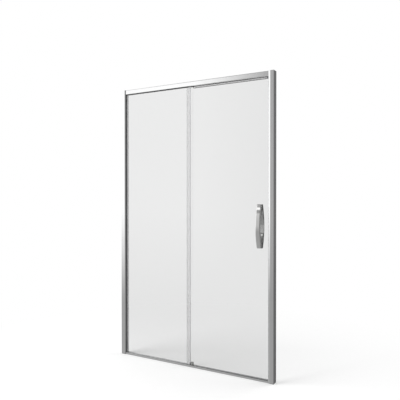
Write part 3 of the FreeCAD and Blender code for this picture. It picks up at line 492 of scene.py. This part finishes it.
def chrome_finish(values):
    """Bright plate with faint finger marks."""
    finish = Finish("chrome_plate", Metallic=1.0)
    marks = finish.noise(FINGER_REPEATS, detail=4.0, roughness=0.6)
    smudge = finish.remap(marks, *MARK_RANGE, 0.0, 1.0)
    finish.feed("Roughness", finish.remap(smudge, 0.0, 1.0, values.least_roughness, values.most_roughness))
    finish.colour(smudge, values.colour, scaled(values.colour, SMUDGED_SHARE))
    finish.feed("Normal", finish.bump(finish.noise(PEEL_REPEATS, detail=1.0), PEEL_DEPTH))
    return finish.material


# Repeats per metre of the drying marks of a pane, the noise in which they show, and their roughness.
DRYING_REPEATS = (5.0, 5.0, 2.0)
DRYING_RANGE = (0.45, 0.8)
DRYING_ROUGHNESS = 0.02
# Share of the ground edge's width that is ground in full, and the roughness there.
FULLY_GROUND = 0.3
GROUND_ROUGHNESS = 0.8


def pane_finish(name, values, low, high):
    """Clear glass whose ground edges, within the pane's own box, are duller and greener."""
    finish = Finish(name, Transmission_Weight=1.0, IOR=values.refraction)
    point = finish.add("ShaderNodeSeparateXYZ", {"Vector": finish.object_point()}).outputs
    gaps = []
    for axis, key in ((X_AXIS, "X"), (Z_AXIS, "Z")):
        gaps.append(finish.math("SUBTRACT", point[key], low[axis]))
        gaps.append(finish.math("SUBTRACT", high[axis], point[key]))
    nearest = gaps[0]
    for gap in gaps[1:]:
        nearest = finish.math("MINIMUM", nearest, gap)
    edge = finish.remap(nearest, FULLY_GROUND * values.edge_width, values.edge_width, 1.0, 0.0)
    finish.colour(edge, values.tint, values.edge_tint)
    drying = finish.noise(DRYING_REPEATS, detail=4.0)
    haze = finish.remap(drying, *DRYING_RANGE, 0.0, DRYING_ROUGHNESS)
    ground = finish.math("MULTIPLY", edge, GROUND_ROUGHNESS)
    finish.feed("Roughness", finish.math("ADD", haze, ground))
    path = finish.add("ShaderNodeLightPath").outputs
    let_through = finish.math("MAXIMUM", path["Is Shadow Ray"], path["Is Diffuse Ray"])
    passed = finish.add("ShaderNodeBsdfTransparent", {"Color": opaque(values.tint)}).outputs["BSDF"]
    finish.show(finish.with_other(let_through, passed))
    return finish.material


# Repeats per metre of the fine lines and the milky clouds of a seal strip.
STRIP_LINE_REPEATS = (900.0, 900.0, 1.5)
STRIP_LINE_DEPTH = 0.02 * MM
MILK_REPEATS = (30.0, 30.0, 6.0)
MILKY_SHARE = 0.9
# How far the roughness and the cover of a strip go below and above their means.
STRIP_SMOOTHER = 0.05
STRIP_ROUGHER = 0.08
COVER_SPREAD = 0.15
STRIP_REFRACTION = 1.45


def seal_finish(values):
    """Milky soft strip with fine lines along its length."""
    finish = Finish("clear_seal_strip", IOR=STRIP_REFRACTION)
    lines = finish.noise(STRIP_LINE_REPEATS)
    milk = finish.noise(MILK_REPEATS, detail=3.0)
    finish.colour(milk, values.colour, scaled(values.colour, MILKY_SHARE))
    rough = finish.spread(milk, values.roughness - STRIP_SMOOTHER, values.roughness + STRIP_ROUGHER)
    finish.feed("Roughness", rough)
    cover = finish.spread(milk, values.cover * (1 - COVER_SPREAD), values.cover * (1 + COVER_SPREAD))
    finish.feed("Alpha", cover)
    finish.feed("Normal", finish.bump(lines, STRIP_LINE_DEPTH))
    return finish.material


RUBBER_SHINE = 0.35
RUBBER_ROUGHNESS = (0.55, 0.78)
RUBBER_GRAIN_DEPTH = 0.03 * MM
# Repeats per metre of the dust on rubber, and how it lightens the colour.
DUST_REPEATS = 45.0
DUST_SHARE = 1.25
DUST_LIFT = 0.015


def rubber_finish(name, colour, grain_size):
    """Matt extruded rubber with a fine dusty grain."""
    finish = Finish(name, Specular_IOR_Level=RUBBER_SHINE)
    grain = finish.noise(1.0 / grain_size, detail=3.0, roughness=0.65)
    dust = finish.noise(DUST_REPEATS, detail=4.0)
    finish.colour(dust, colour, [channel * DUST_SHARE + DUST_LIFT for channel in colour])
    finish.feed("Roughness", finish.spread(grain, *RUBBER_ROUGHNESS))
    finish.feed("Normal", finish.bump(grain, RUBBER_GRAIN_DEPTH))
    return finish.material


MOULDED_ROUGHNESS = (0.36, 0.52)
MOULDED_GRAIN_DEPTH = 0.02 * MM
# Repeats per metre of the flow marks in moulded plastic, and the share of colour that they leave.
FLOW_REPEATS = 70.0
FLOW_SHARE = 0.86
# How far light goes into a moulding, and the share of it that does so in nylon.
GLOW_DEPTH = 1.5 * MM
NYLON_GLOW = 0.15


def moulded_finish(name, colour, grain_size, glow=0.0):
    """Moulded plastic with spark-eroded grain."""
    finish = Finish(name, Subsurface_Weight=glow, Subsurface_Scale=GLOW_DEPTH)
    grain = finish.noise(1.0 / grain_size, roughness=0.6)
    flow = finish.noise(FLOW_REPEATS, detail=3.0)
    finish.colour(flow, colour, scaled(colour, FLOW_SHARE))
    finish.feed("Roughness", finish.spread(grain, *MOULDED_ROUGHNESS))
    finish.feed("Normal", finish.bump(grain, MOULDED_GRAIN_DEPTH))
    return finish.material


CLEAR_SHARE = 0.8
CLEAR_REFRACTION = 1.49
CLEAR_ROUGHNESS = (0.12, 0.3)
CLOUD_REPEATS = 300.0


def clear_moulding_finish(values):
    """Clear moulded washers and bushes, a little cloudy."""
    finish = Finish("clear_moulding", Transmission_Weight=CLEAR_SHARE, IOR=CLEAR_REFRACTION)
    cloud = finish.noise(CLOUD_REPEATS, detail=3.0)
    finish.colour(cloud, values.clear, values.cloud)
    finish.feed("Roughness", finish.spread(cloud, *CLEAR_ROUGHNESS))
    return finish.material


# Repeats per metre of the rolling lines of steel, and the share of colour that they leave.
ROLLING_REPEATS = (20.0, 2600.0, 2600.0)
ROLLING_DEPTH = 0.008 * MM
ROLLED_SHARE = 0.84
STEEL_SPREAD = 0.09


def steel_finish(name, values):
    """Satin stainless steel with fine rolling lines along X."""
    finish = Finish(name, Metallic=1.0)
    lines = finish.noise(ROLLING_REPEATS, detail=3.0, roughness=0.6)
    finish.colour(lines, values.colour, scaled(values.colour, ROLLED_SHARE))
    rough = finish.spread(lines, values.roughness - STEEL_SPREAD, values.roughness + STEEL_SPREAD)
    finish.feed("Roughness", rough)
    finish.feed("Normal", finish.bump(lines, ROLLING_DEPTH))
    return finish.material


class SHOWERDOOR_OT_profiles(bpy.types.Operator):
    """Finish the posts, rails and wall channels"""

    bl_idname = "shower_door.profiles"
    bl_label = "Finish Profiles"

    def execute(self, context):
        values = settings_of(context).profile
        bright = (values.colour, values.least_roughness, values.most_roughness)
        smoothest = values.satin_roughness - SATIN_SPREAD
        roughest = values.satin_roughness + SATIN_SPREAD
        satin = (values.satin_colour, smoothest, roughest, values.satin_metal)
        dress(UPRIGHT_PROFILES, profile_finish("polished_upright", values, Z_AXIS, *bright))
        dress(LEVEL_PROFILES, profile_finish("polished_rail", values, X_AXIS, *bright))
        dress(SATIN_PROFILES, profile_finish("satin_rail", values, X_AXIS, *satin))
        return {"FINISHED"}


class SHOWERDOOR_OT_panes(bpy.types.Operator):
    """Finish the fixed pane and the door pane"""

    bl_idname = "shower_door.panes"
    bl_label = "Finish Panes"

    def execute(self, context):
        for name in PANES:
            low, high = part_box(name)
            dress((name,), pane_finish(f"clear_{name}", settings_of(context).glass, low, high))
        return {"FINISHED"}


class SHOWERDOOR_OT_seals(bpy.types.Operator):
    """Finish the clear seal strips, the gaskets and the filler strips"""

    bl_idname = "shower_door.seals"
    bl_label = "Finish Seals and Gaskets"

    def execute(self, context):
        values = settings_of(context).moulding
        dress(SEALS, seal_finish(settings_of(context).seal))
        dress(RUBBERS, rubber_finish("dark_rubber", values.rubber, values.grain))
        dress(FILLERS, rubber_finish("grey_filler", values.filler, values.grain))
        return {"FINISHED"}


# Share of a lip's height, and share of its depth there.
LIP_CURVE = ((0.0, 1.0), (0.25, 0.9), (0.5, 0.66), (0.75, 0.36), (0.95, 0.1), (1.0, 0.02))
LIP_PLAY = 0.03 * MM
LIP_SHARP_ANGLE = math.radians(40)


def lay_lip(form, route, face, outward, values):
    """Lip along a route of (x, z, inward x, inward z) on a glass face, outward being its direction in Y."""
    outline = [(LIP_PLAY, LIP_PLAY)]
    for share, stand in LIP_CURVE:
        outline.append((LIP_PLAY + share * values.height, LIP_PLAY + stand * values.depth))
    outline.append((LIP_PLAY + values.height, LIP_PLAY))
    rows = []
    for x, z, inward_x, inward_z in route:
        row = []
        for reach, stand in outline:
            row.append(form.verts.new((x + inward_x * reach, face + outward * stand, z + inward_z * reach)))
        rows.append(row)
    for near, far in zip(rows, rows[1:]):
        for k in range(len(outline)):
            form.faces.new((near[k - 1], near[k], far[k], far[k - 1]))
    form.faces.new(rows[0])
    form.faces.new(rows[-1])


def finish_piece(name, form, material, body, sharp_angle):
    """Object of a form, with its finish and its body."""
    bmesh.ops.recalc_face_normals(form, faces=form.faces)
    mesh = bpy.data.meshes.new(name)
    form.to_mesh(mesh)
    form.free()
    mesh.shade_smooth()
    mesh.set_sharp_from_angle(angle=sharp_angle)
    mesh.materials.append(material)
    piece = bpy.data.objects.new(name, mesh)
    link(piece)
    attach(piece, body)
    return piece


class SHOWERDOOR_OT_lips(bpy.types.Operator):
    """Lay the lips of the glazing gaskets on the fixed pane and under the hanger rail"""

    bl_idname = "shower_door.lips"
    bl_label = "Lay Gasket Lips"

    def execute(self, context):
        values = settings_of(context)
        rubber = rubber_finish("lip_rubber", values.moulding.rubber, values.moulding.grain)
        low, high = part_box("gasket_fixed_side")
        left, bottom, top = high[X_AXIS], low[Z_AXIS], high[Z_AXIS]
        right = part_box("fixed_edge_seal")[0][X_AXIS]
        front, back = (corner[Y_AXIS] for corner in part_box("fixed_glass"))
        head = [(right, top, 0, -1), (left, top, 1, -1)]
        form = bmesh.new()
        lay_lip(form, head + [(left, bottom, 1, 1), (right, bottom, 0, 1)], front, -1, values.lip)
        lay_lip(form, head + [(left, bottom, 1, 0)], back, 1, values.lip)
        finish_piece("fixed_pane_lips", form, rubber, "frame", LIP_SHARP_ANGLE)
        low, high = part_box("hanger_gasket")
        run = [(low[X_AXIS], low[Z_AXIS], 0, -1), (high[X_AXIS], low[Z_AXIS], 0, -1)]
        front, back = (corner[Y_AXIS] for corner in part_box("door_glass"))
        form = bmesh.new()
        lay_lip(form, run, front, -1, values.lip)
        lay_lip(form, run, back, 1, values.lip)
        finish_piece("hanger_lips", form, rubber, "door", LIP_SHARP_ANGLE)
        return {"FINISHED"}


class SHOWERDOOR_OT_handles(bpy.types.Operator):
    """Finish the bow handles with their washers and bushes, and the screw covers"""

    bl_idname = "shower_door.handles"
    bl_label = "Finish Handles"

    def execute(self, context):
        dress(HANDLES + SCREW_COVERS, chrome_finish(settings_of(context).chrome))
        dress(CLEAR_MOULDINGS, clear_moulding_finish(settings_of(context).moulding))
        return {"FINISHED"}


class SHOWERDOOR_OT_mouldings(bpy.types.Operator):
    """Finish the guide block, the door stops and the end caps of the hanger rail"""

    bl_idname = "shower_door.mouldings"
    bl_label = "Finish Mouldings"

    def execute(self, context):
        values = settings_of(context).moulding
        dress(DARK_MOULDINGS, moulded_finish("dark_moulding", values.plastic, values.grain))
        dress(GUIDES, moulded_finish("grey_guide_block", values.guide, values.grain))
        return {"FINISHED"}


class SHOWERDOOR_OT_rollers(bpy.types.Operator):
    """Finish the wheels, their bearings and axles, and the roller brackets"""

    bl_idname = "shower_door.rollers"
    bl_label = "Finish Rollers"

    def execute(self, context):
        values = settings_of(context)
        nylon = moulded_finish("wheel_nylon", values.moulding.nylon, values.moulding.grain, NYLON_GLOW)
        dress(TYRES, nylon)
        dress(BEARINGS + STEEL_PARTS, steel_finish("satin_steel", values.steel))
        return {"FINISHED"}


# Points of a node, and of a finished screw, that lie this close are one point.
SAME_POINT = 0.001 * MM
SAME_SCREW_POINT = 0.0005 * MM


def loose_solids(name):
    """Points of each separate solid of a node."""
    shell = bmesh.new()
    shell.from_mesh(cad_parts[name].data)
    bmesh.ops.remove_doubles(shell, verts=shell.verts, dist=SAME_POINT)
    solids = []
    met = set()
    for start in shell.verts:
        if start in met:
            continue
        met.add(start)
        group = [start]
        for point in group:
            for edge in point.link_edges:
                other = edge.other_vert(point)
                if other not in met:
                    met.add(other)
                    group.append(other)
        solids.append([point.co.copy() for point in group])
    shell.free()
    return solids


# A screw has a head if it is this much wider than its shank. The head starts where the screw has nearly
# its full radius. Heights along a screw are told apart to this many digits of a metre.
HEADED_RATIO = 1.05
NEARLY_FULL = 0.97
HEIGHT_DIGITS = 6


class ScrewBlank:
    """Place and radii of one plain screw, read from the points of its solid"""

    def __init__(self, points, axis):
        low = Vector([min(point[k] for point in points) for k in range(3)])
        high = Vector([max(point[k] for point in points) for k in range(3)])
        along = Vector([1.0 if k == axis else 0.0 for k in range(3)])
        middle = (low + high) / 2
        reach = {}
        for point in points:
            off = point - middle
            level = round(point[axis], HEIGHT_DIGITS)
            reach[level] = max(reach.get(level, 0.0), (off - along * off[axis]).length)
        levels = sorted(reach)
        self.length = high[axis] - low[axis]
        self.head_radius = max(reach.values())
        self.shank_radius = min(reach[levels[0]], reach[levels[-1]])
        self.headed = self.head_radius > HEADED_RATIO * self.shank_radius
        head_is_high = reach[levels[-1]] > reach[levels[0]]
        self.direction = along if self.headed and head_is_high else -along
        self.tip = middle - self.direction * (self.length / 2)
        full = NEARLY_FULL * self.head_radius
        wide = [abs(level - self.tip[axis]) for level in levels if reach[level] > full]
        self.head_start = min(wide) if self.headed else self.length


def turn(form, outline, sides):
    """Turn an outline of (radius, height) about Z; a radius is a number, or a function of the angle."""
    rings = []
    for radius, height in outline:
        if radius == 0.0:
            rings.append([form.verts.new((0.0, 0.0, height))] * sides)
            continue
        ring = []
        for side in range(sides):
            angle = math.tau * side / sides
            reach = radius(angle) if callable(radius) else radius
            ring.append(form.verts.new((reach * math.cos(angle), reach * math.sin(angle), height)))
        rings.append(ring)
    for lower, upper in zip(rings, rings[1:]):
        for side in range(sides):
            corners = [lower[side - 1], lower[side], upper[side], upper[side - 1]]
            form.faces.new(list(dict.fromkeys(corners)))


def cut_thread(form, crest, root, low, high, pitch, sides):
    """Helical thread round Z between two heights, with two rows of points to a turn."""
    turns = math.ceil((high - low) / pitch) + 2
    rows = []
    for step in range(2 * turns + 1):
        row = []
        for side in range(sides):
            height = low + (step / 2 - 1 + side / sides) * pitch
            reach = crest if step % 2 and low < height < high else root
            angle = math.tau * side / sides
            held = min(max(height, low), high)
            row.append(form.verts.new((reach * math.cos(angle), reach * math.sin(angle), held)))
        rows.append(row)
    for step in range(len(rows) - 3):
        lower, upper = rows[step], rows[step + 1]
        for side in range(sides - 1):
            form.faces.new((lower[side], lower[side + 1], upper[side + 1], upper[side]))
        form.faces.new((lower[-1], rows[step + 2][0], rows[step + 3][0], upper[-1]))


DOZEN = 12
# Length of a screw's point as a share of its radius, and the blunt end as a share of the thread's root.
POINT_LENGTH = 0.5
BLUNT_END = 0.6
# Share of a pan head's radius, and share of its height there.
HEAD_CURVE = ((0.96, 0.0), (1.0, 0.1), (1.0, 0.45), (0.95, 0.7), (0.84, 0.9), (0.7, 1.0))
DRIVE_DEPTH = 0.6
# Corners or lobes of a drive, and how far the lobes go in and out.
DRIVE_CORNERS = 6
LOBE_WAVE = 0.13
# Angle that keeps a corner's rounding error out of the sector before it.
SMALLEST_TURN = 1e-9
SCREW_SHARP_ANGLE = math.radians(38)


def six_lobes(size):
    """Radius of a six-lobed drive at an angle."""
    return lambda angle: size * (1 - LOBE_WAVE + LOBE_WAVE * math.cos(DRIVE_CORNERS * angle))


def hexagon(size):
    """Radius of a hexagonal drive at an angle."""
    sector = math.tau / DRIVE_CORNERS
    flat = size * math.cos(sector / 2)
    return lambda angle: flat / math.cos((angle + SMALLEST_TURN) % sector - sector / 2)


def cut_screw(blank, values, pitch):
    """Threaded screw from its tip to a pan head with a six-lobed drive, or to a plain end with a hexagon."""
    sides = DOZEN * values.sides
    crest = blank.shank_radius
    root = crest - values.thread_depth * pitch
    point = POINT_LENGTH * crest
    top = blank.length
    form = bmesh.new()
    turn(form, [(0.0, 0.0), (BLUNT_END * root, 0.0), (root, point)], sides)
    cut_thread(form, crest, root, point, blank.head_start, pitch, sides)
    if blank.headed:
        radius = blank.head_radius
        height = top - blank.head_start
        hollow = six_lobes(values.drive * radius)
        outline = [(root, blank.head_start)]
        for share, rise in HEAD_CURVE:
            outline.append((share * radius, blank.head_start + rise * height))
        depth = DRIVE_DEPTH * height
    else:
        hollow = hexagon(values.drive * crest)
        outline = [(root, top)]
        depth = crest
    outline += [(hollow, top), (hollow, top - depth), (0.0, top - depth)]
    turn(form, outline, sides)
    bmesh.ops.remove_doubles(form, verts=form.verts, dist=SAME_SCREW_POINT)
    turned_up = blank.direction.to_track_quat("Z", "Y").to_matrix().to_4x4()
    bmesh.ops.transform(form, matrix=Matrix.Translation(blank.tip) @ turned_up, verts=form.verts)
    return form


def joined_screws(node, axis, values, pitch):
    """One form with every screw of a node."""
    whole = bmesh.new()
    for points in loose_solids(node):
        form = cut_screw(ScrewBlank(points, axis), values, pitch)
        single = bpy.data.meshes.new("single_screw")
        form.to_mesh(single)
        form.free()
        whole.from_mesh(single)
        bpy.data.meshes.remove(single)
    return whole


class SHOWERDOOR_OT_screws(bpy.types.Operator):
    """Cut the screws and studs, with threads and drives, in place of their plain blanks"""

    bl_idname = "shower_door.screws"
    bl_label = "Cut Screws"

    def execute(self, context):
        values = settings_of(context)
        steel = steel_finish("screw_steel", values.steel)
        for node, body, axis, pitch_name in SCREWS:
            form = joined_screws(node, axis, values.screw, getattr(values.screw, pitch_name))
            piece = finish_piece(f"threaded_{node}", form, steel, body, SCREW_SHARP_ANGLE)
            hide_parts(node)
        return {"FINISHED"}


# Grey levels of the studio in polished metal, at degrees round from the front (-Y) to the left (-X): a broad
# white screen on the left, and darker in front, behind and on the right.
UPPER_WALL = (
    (-180, 0.55), (-171, 0.5), (-165, 0.16), (-158, 0.15), (-141, 0.12), (-138, 0.14), (-131, 0.45),
    (-110, 0.42), (-85, 0.2), (-60, 0.2), (-30, 0.17), (-10, 0.24), (10, 0.27), (18, 0.32), (22, 0.37),
    (23, 0.5), (25.6, 0.685), (27.9, 0.86), (29.6, 1.0), (31, 1.06), (38, 1.06), (46, 2.4), (120, 2.4),
    (128, 1.06), (145, 0.8), (165, 0.65), (180, 0.55),
)
LOWER_WALL = (
    (-180, 0.42), (-171, 0.38), (-165, 0.14), (-158, 0.13), (-141, 0.11), (-138, 0.13), (-131, 0.4),
    (-110, 0.38), (-85, 0.2), (-60, 0.2), (-30, 0.17), (-10, 0.24), (10, 0.27), (18, 0.31), (22, 0.34),
    (38, 0.37), (100, 0.37), (133, 0.42), (139, 0.06), (150, 0.06), (156, 0.45), (180, 0.42),
)
FULL_TURN = 360
# Share of the upper wall's level by height, as the sine of the elevation: a dark gap over the wall, a lamp
# and a dark ceiling.
CEILING = (
    (0.0, 1.0), (0.30, 1.0), (0.345, 0.5), (0.405, 0.5), (0.43, 1.75), (0.46, 1.75), (0.485, 0.5),
    (0.54, 0.48), (0.6, 0.24), (0.8, 0.24), (0.84, 0.2), (0.88, 0.1), (1.0, 0.1),
)
WHITEST = 1.06
# Heights between which the lower wall goes over into the upper one, also as sines.
HORIZON = (-0.2, -0.03)


def ray_kinds(sheet):
    """Rays that come to the eye, straight or through glass, and rays that a polished face has turned."""
    path = sheet.add("ShaderNodeLightPath").outputs
    seen = sheet.math("MAXIMUM", path["Is Camera Ray"], path["Is Transmission Ray"])
    sharp = sheet.math("MAXIMUM", path["Is Glossy Ray"], path["Is Transmission Ray"])
    turned = sheet.math("MINIMUM", path["Glossy Depth"], 1.0)
    return seen, sheet.math("MULTIPLY", sharp, turned)


def grey_ramp(sheet, value, steps):
    """Grey levels at places from 0 to 1."""
    ramp = sheet.add("ShaderNodeValToRGB", {"Fac": value})
    stops = ramp.color_ramp.elements
    while len(stops) > 1:
        stops.remove(stops[-1])
    for index, (place, level) in enumerate(steps):
        stop = stops[0] if index == 0 else stops.new(place)
        stop.position = place
        stop.color = opaque((level,) * 3)
    return ramp.outputs["Color"]


def wall_ramp(sheet, around, wall):
    """Grey levels of a wall, where around goes from 0, behind, over 0.5, in front, to 1, behind again."""
    return grey_ramp(sheet, around, [(0.5 + degrees / FULL_TURN, level) for degrees, level in wall])


def studio_world(values):
    """White for the eye and through glass, a soft even light, and a plain studio for polished metal."""
    world = bpy.data.worlds.new("studio")
    world.use_nodes = True
    sheet = NodeSheet(world.node_tree)
    direction = sheet.add("ShaderNodeTexCoord").outputs["Generated"]
    part = sheet.add("ShaderNodeSeparateXYZ", {"Vector": direction}).outputs
    forward = sheet.math("MULTIPLY", part["Y"], -1.0)
    leftward = sheet.math("MULTIPLY", part["X"], -1.0)
    turned = sheet.add("ShaderNodeCombineXYZ", {"X": forward, "Y": leftward}).outputs["Vector"]
    around = sheet.add("ShaderNodeTexGradient", {"Vector": turned}, gradient_type="RADIAL").outputs["Fac"]
    above = sheet.remap(part["Z"], *HORIZON, 0.0, 1.0)
    lower = wall_ramp(sheet, around, LOWER_WALL)
    upper = wall_ramp(sheet, around, UPPER_WALL)
    overhead = sheet.math("MULTIPLY", upper, grey_ramp(sheet, part["Z"], CEILING))
    reflected = sheet.blend(above, lower, sheet.math("MINIMUM", overhead, WHITEST))
    seen, mirrored = ray_kinds(sheet)
    shown = sheet.blend(seen, opaque((values.ambient,) * 3), WHITE)
    sheet.put(world.node_tree.nodes["Background"].inputs["Color"], sheet.blend(mirrored, shown, reflected))
    return world


FLOOR_ROUGHNESS = 0.9
FLOOR_CLOUD_REPEATS = 0.6
FLOOR_PALER = 1.02
FLOOR_GAP = 0.5 * MM


def floor_finish(values):
    """Pale matt floor with the door's shadow, white further away, and left out in polished metal."""
    finish = Finish("pale_floor", Roughness=FLOOR_ROUGHNESS, Specular_IOR_Level=0.0, Emission_Color=WHITE)
    cloud = finish.noise(FLOOR_CLOUD_REPEATS, detail=3.0)
    paler = [min(1.0, channel * FLOOR_PALER) for channel in values.floor_colour]
    finish.colour(cloud, values.floor_colour, paler)
    seen, mirrored = ray_kinds(finish)
    finish.feed("Emission Strength", finish.math("MULTIPLY", seen, values.floor_lift))
    place = finish.object_point()
    away = finish.add("ShaderNodeVectorMath", {0: place}, operation="LENGTH").outputs["Value"]
    far = finish.math("MULTIPLY", seen, finish.remap(away, values.floor_near, values.floor_far, 0.0, 1.0))
    white = finish.add("ShaderNodeEmission", {"Color": WHITE, "Strength": 1.0}).outputs["Emission"]
    laid = finish.with_other(far, white)
    clear = finish.add("ShaderNodeBsdfTransparent").outputs["BSDF"]
    finish.show(finish.mix(mirrored, laid, clear))
    return finish.material


def lay_floor(values):
    """Square floor just below the sill."""
    half = values.floor_size / 2
    level = cad_box[0][Z_AXIS] - FLOOR_GAP
    corners = [(-half, -half, level), (half, -half, level), (half, half, level), (-half, half, level)]
    mesh = bpy.data.meshes.new("floor")
    mesh.from_pydata(corners, [], [(0, 1, 2, 3)])
    mesh.materials.append(floor_finish(values))
    floor = bpy.data.objects.new("floor", mesh)
    link(floor)


def hang_lamp(name, place, target, size, power):
    """Square lamp that lights matt faces and isn't seen itself."""
    data = bpy.data.lights.new(name, "AREA")
    data.shape = "SQUARE"
    data.size = size
    data.energy = power
    lamp = bpy.data.objects.new(name, data)
    lamp.location = place
    lamp.rotation_euler = (Vector(target) - Vector(place)).to_track_quat("-Z", "Y").to_euler()
    lamp.visible_glossy = False
    lamp.visible_transmission = False
    lamp.visible_camera = False
    link(lamp)


def set_camera(values):
    """Camera at the photograph's place and angle."""
    data = bpy.data.cameras.new("photo_camera")
    data.lens = values.lens
    camera = bpy.data.objects.new("photo_camera", data)
    camera.location = values.camera_place
    camera.rotation_euler = (math.pi / 2 - values.camera_tilt, 0.0, values.camera_pan)
    link(camera)
    bpy.context.scene.camera = camera


class SHOWERDOOR_OT_studio(bpy.types.Operator):
    """Set up the floor, the light and the camera"""

    bl_idname = "shower_door.studio"
    bl_label = "Set Up Studio"

    def execute(self, context):
        values = settings_of(context).studio
        scene = context.scene
        scene.view_settings.view_transform = "Standard"
        scene.world = studio_world(values)
        lay_floor(values)
        middle = [(low + high) / 2 for low, high in zip(*cad_box)]
        hang_lamp("key_lamp", values.key_place, middle, values.lamp_size, values.key_power)
        fill_power = values.key_power * values.fill_share
        hang_lamp("fill_lamp", values.fill_place, middle, values.lamp_size, fill_power)
        set_camera(values)
        return {"FINISHED"}


STEPS = (
    SHOWERDOOR_OT_profiles,
    SHOWERDOOR_OT_panes,
    SHOWERDOOR_OT_seals,
    SHOWERDOOR_OT_lips,
    SHOWERDOOR_OT_handles,
    SHOWERDOOR_OT_mouldings,
    SHOWERDOOR_OT_rollers,
    SHOWERDOOR_OT_screws,
    SHOWERDOOR_OT_studio,
)


class SHOWERDOOR_PT_panel(bpy.types.Panel):
    """Steps that dress the shower door"""

    bl_idname = "SHOWERDOOR_PT_panel"
    bl_label = "Shower Door"
    bl_space_type = "VIEW_3D"
    bl_region_type = "UI"
    bl_category = "Shower Door"

    def draw(self, context):
        for step in STEPS:
            self.layout.operator(step.bl_idname)


SETTINGS = (
    ProfileFinish,
    ChromeFinish,
    GlassFinish,
    SealFinish,
    MouldingFinish,
    SteelFinish,
    GasketLip,
    ScrewCut,
    StudioSettings,
    ShowerDoorSettings,
)
CLASSES = SETTINGS + STEPS + (SHOWERDOOR_PT_panel,)


def register():
    for item in CLASSES:
        bpy.utils.register_class(item)
    bpy.types.Scene.shower_door = PointerProperty(type=ShowerDoorSettings)


def unregister():
    del bpy.types.Scene.shower_door
    for item in reversed(CLASSES):
        bpy.utils.unregister_class(item)


def main():
    register()
    bpy.ops.shower_door.profiles()
    bpy.ops.shower_door.panes()
    bpy.ops.shower_door.seals()
    bpy.ops.shower_door.lips()
    bpy.ops.shower_door.handles()
    bpy.ops.shower_door.mouldings()
    bpy.ops.shower_door.rollers()
    bpy.ops.shower_door.screws()
    bpy.ops.shower_door.studio()


if __name__ == "__main__":
    main()
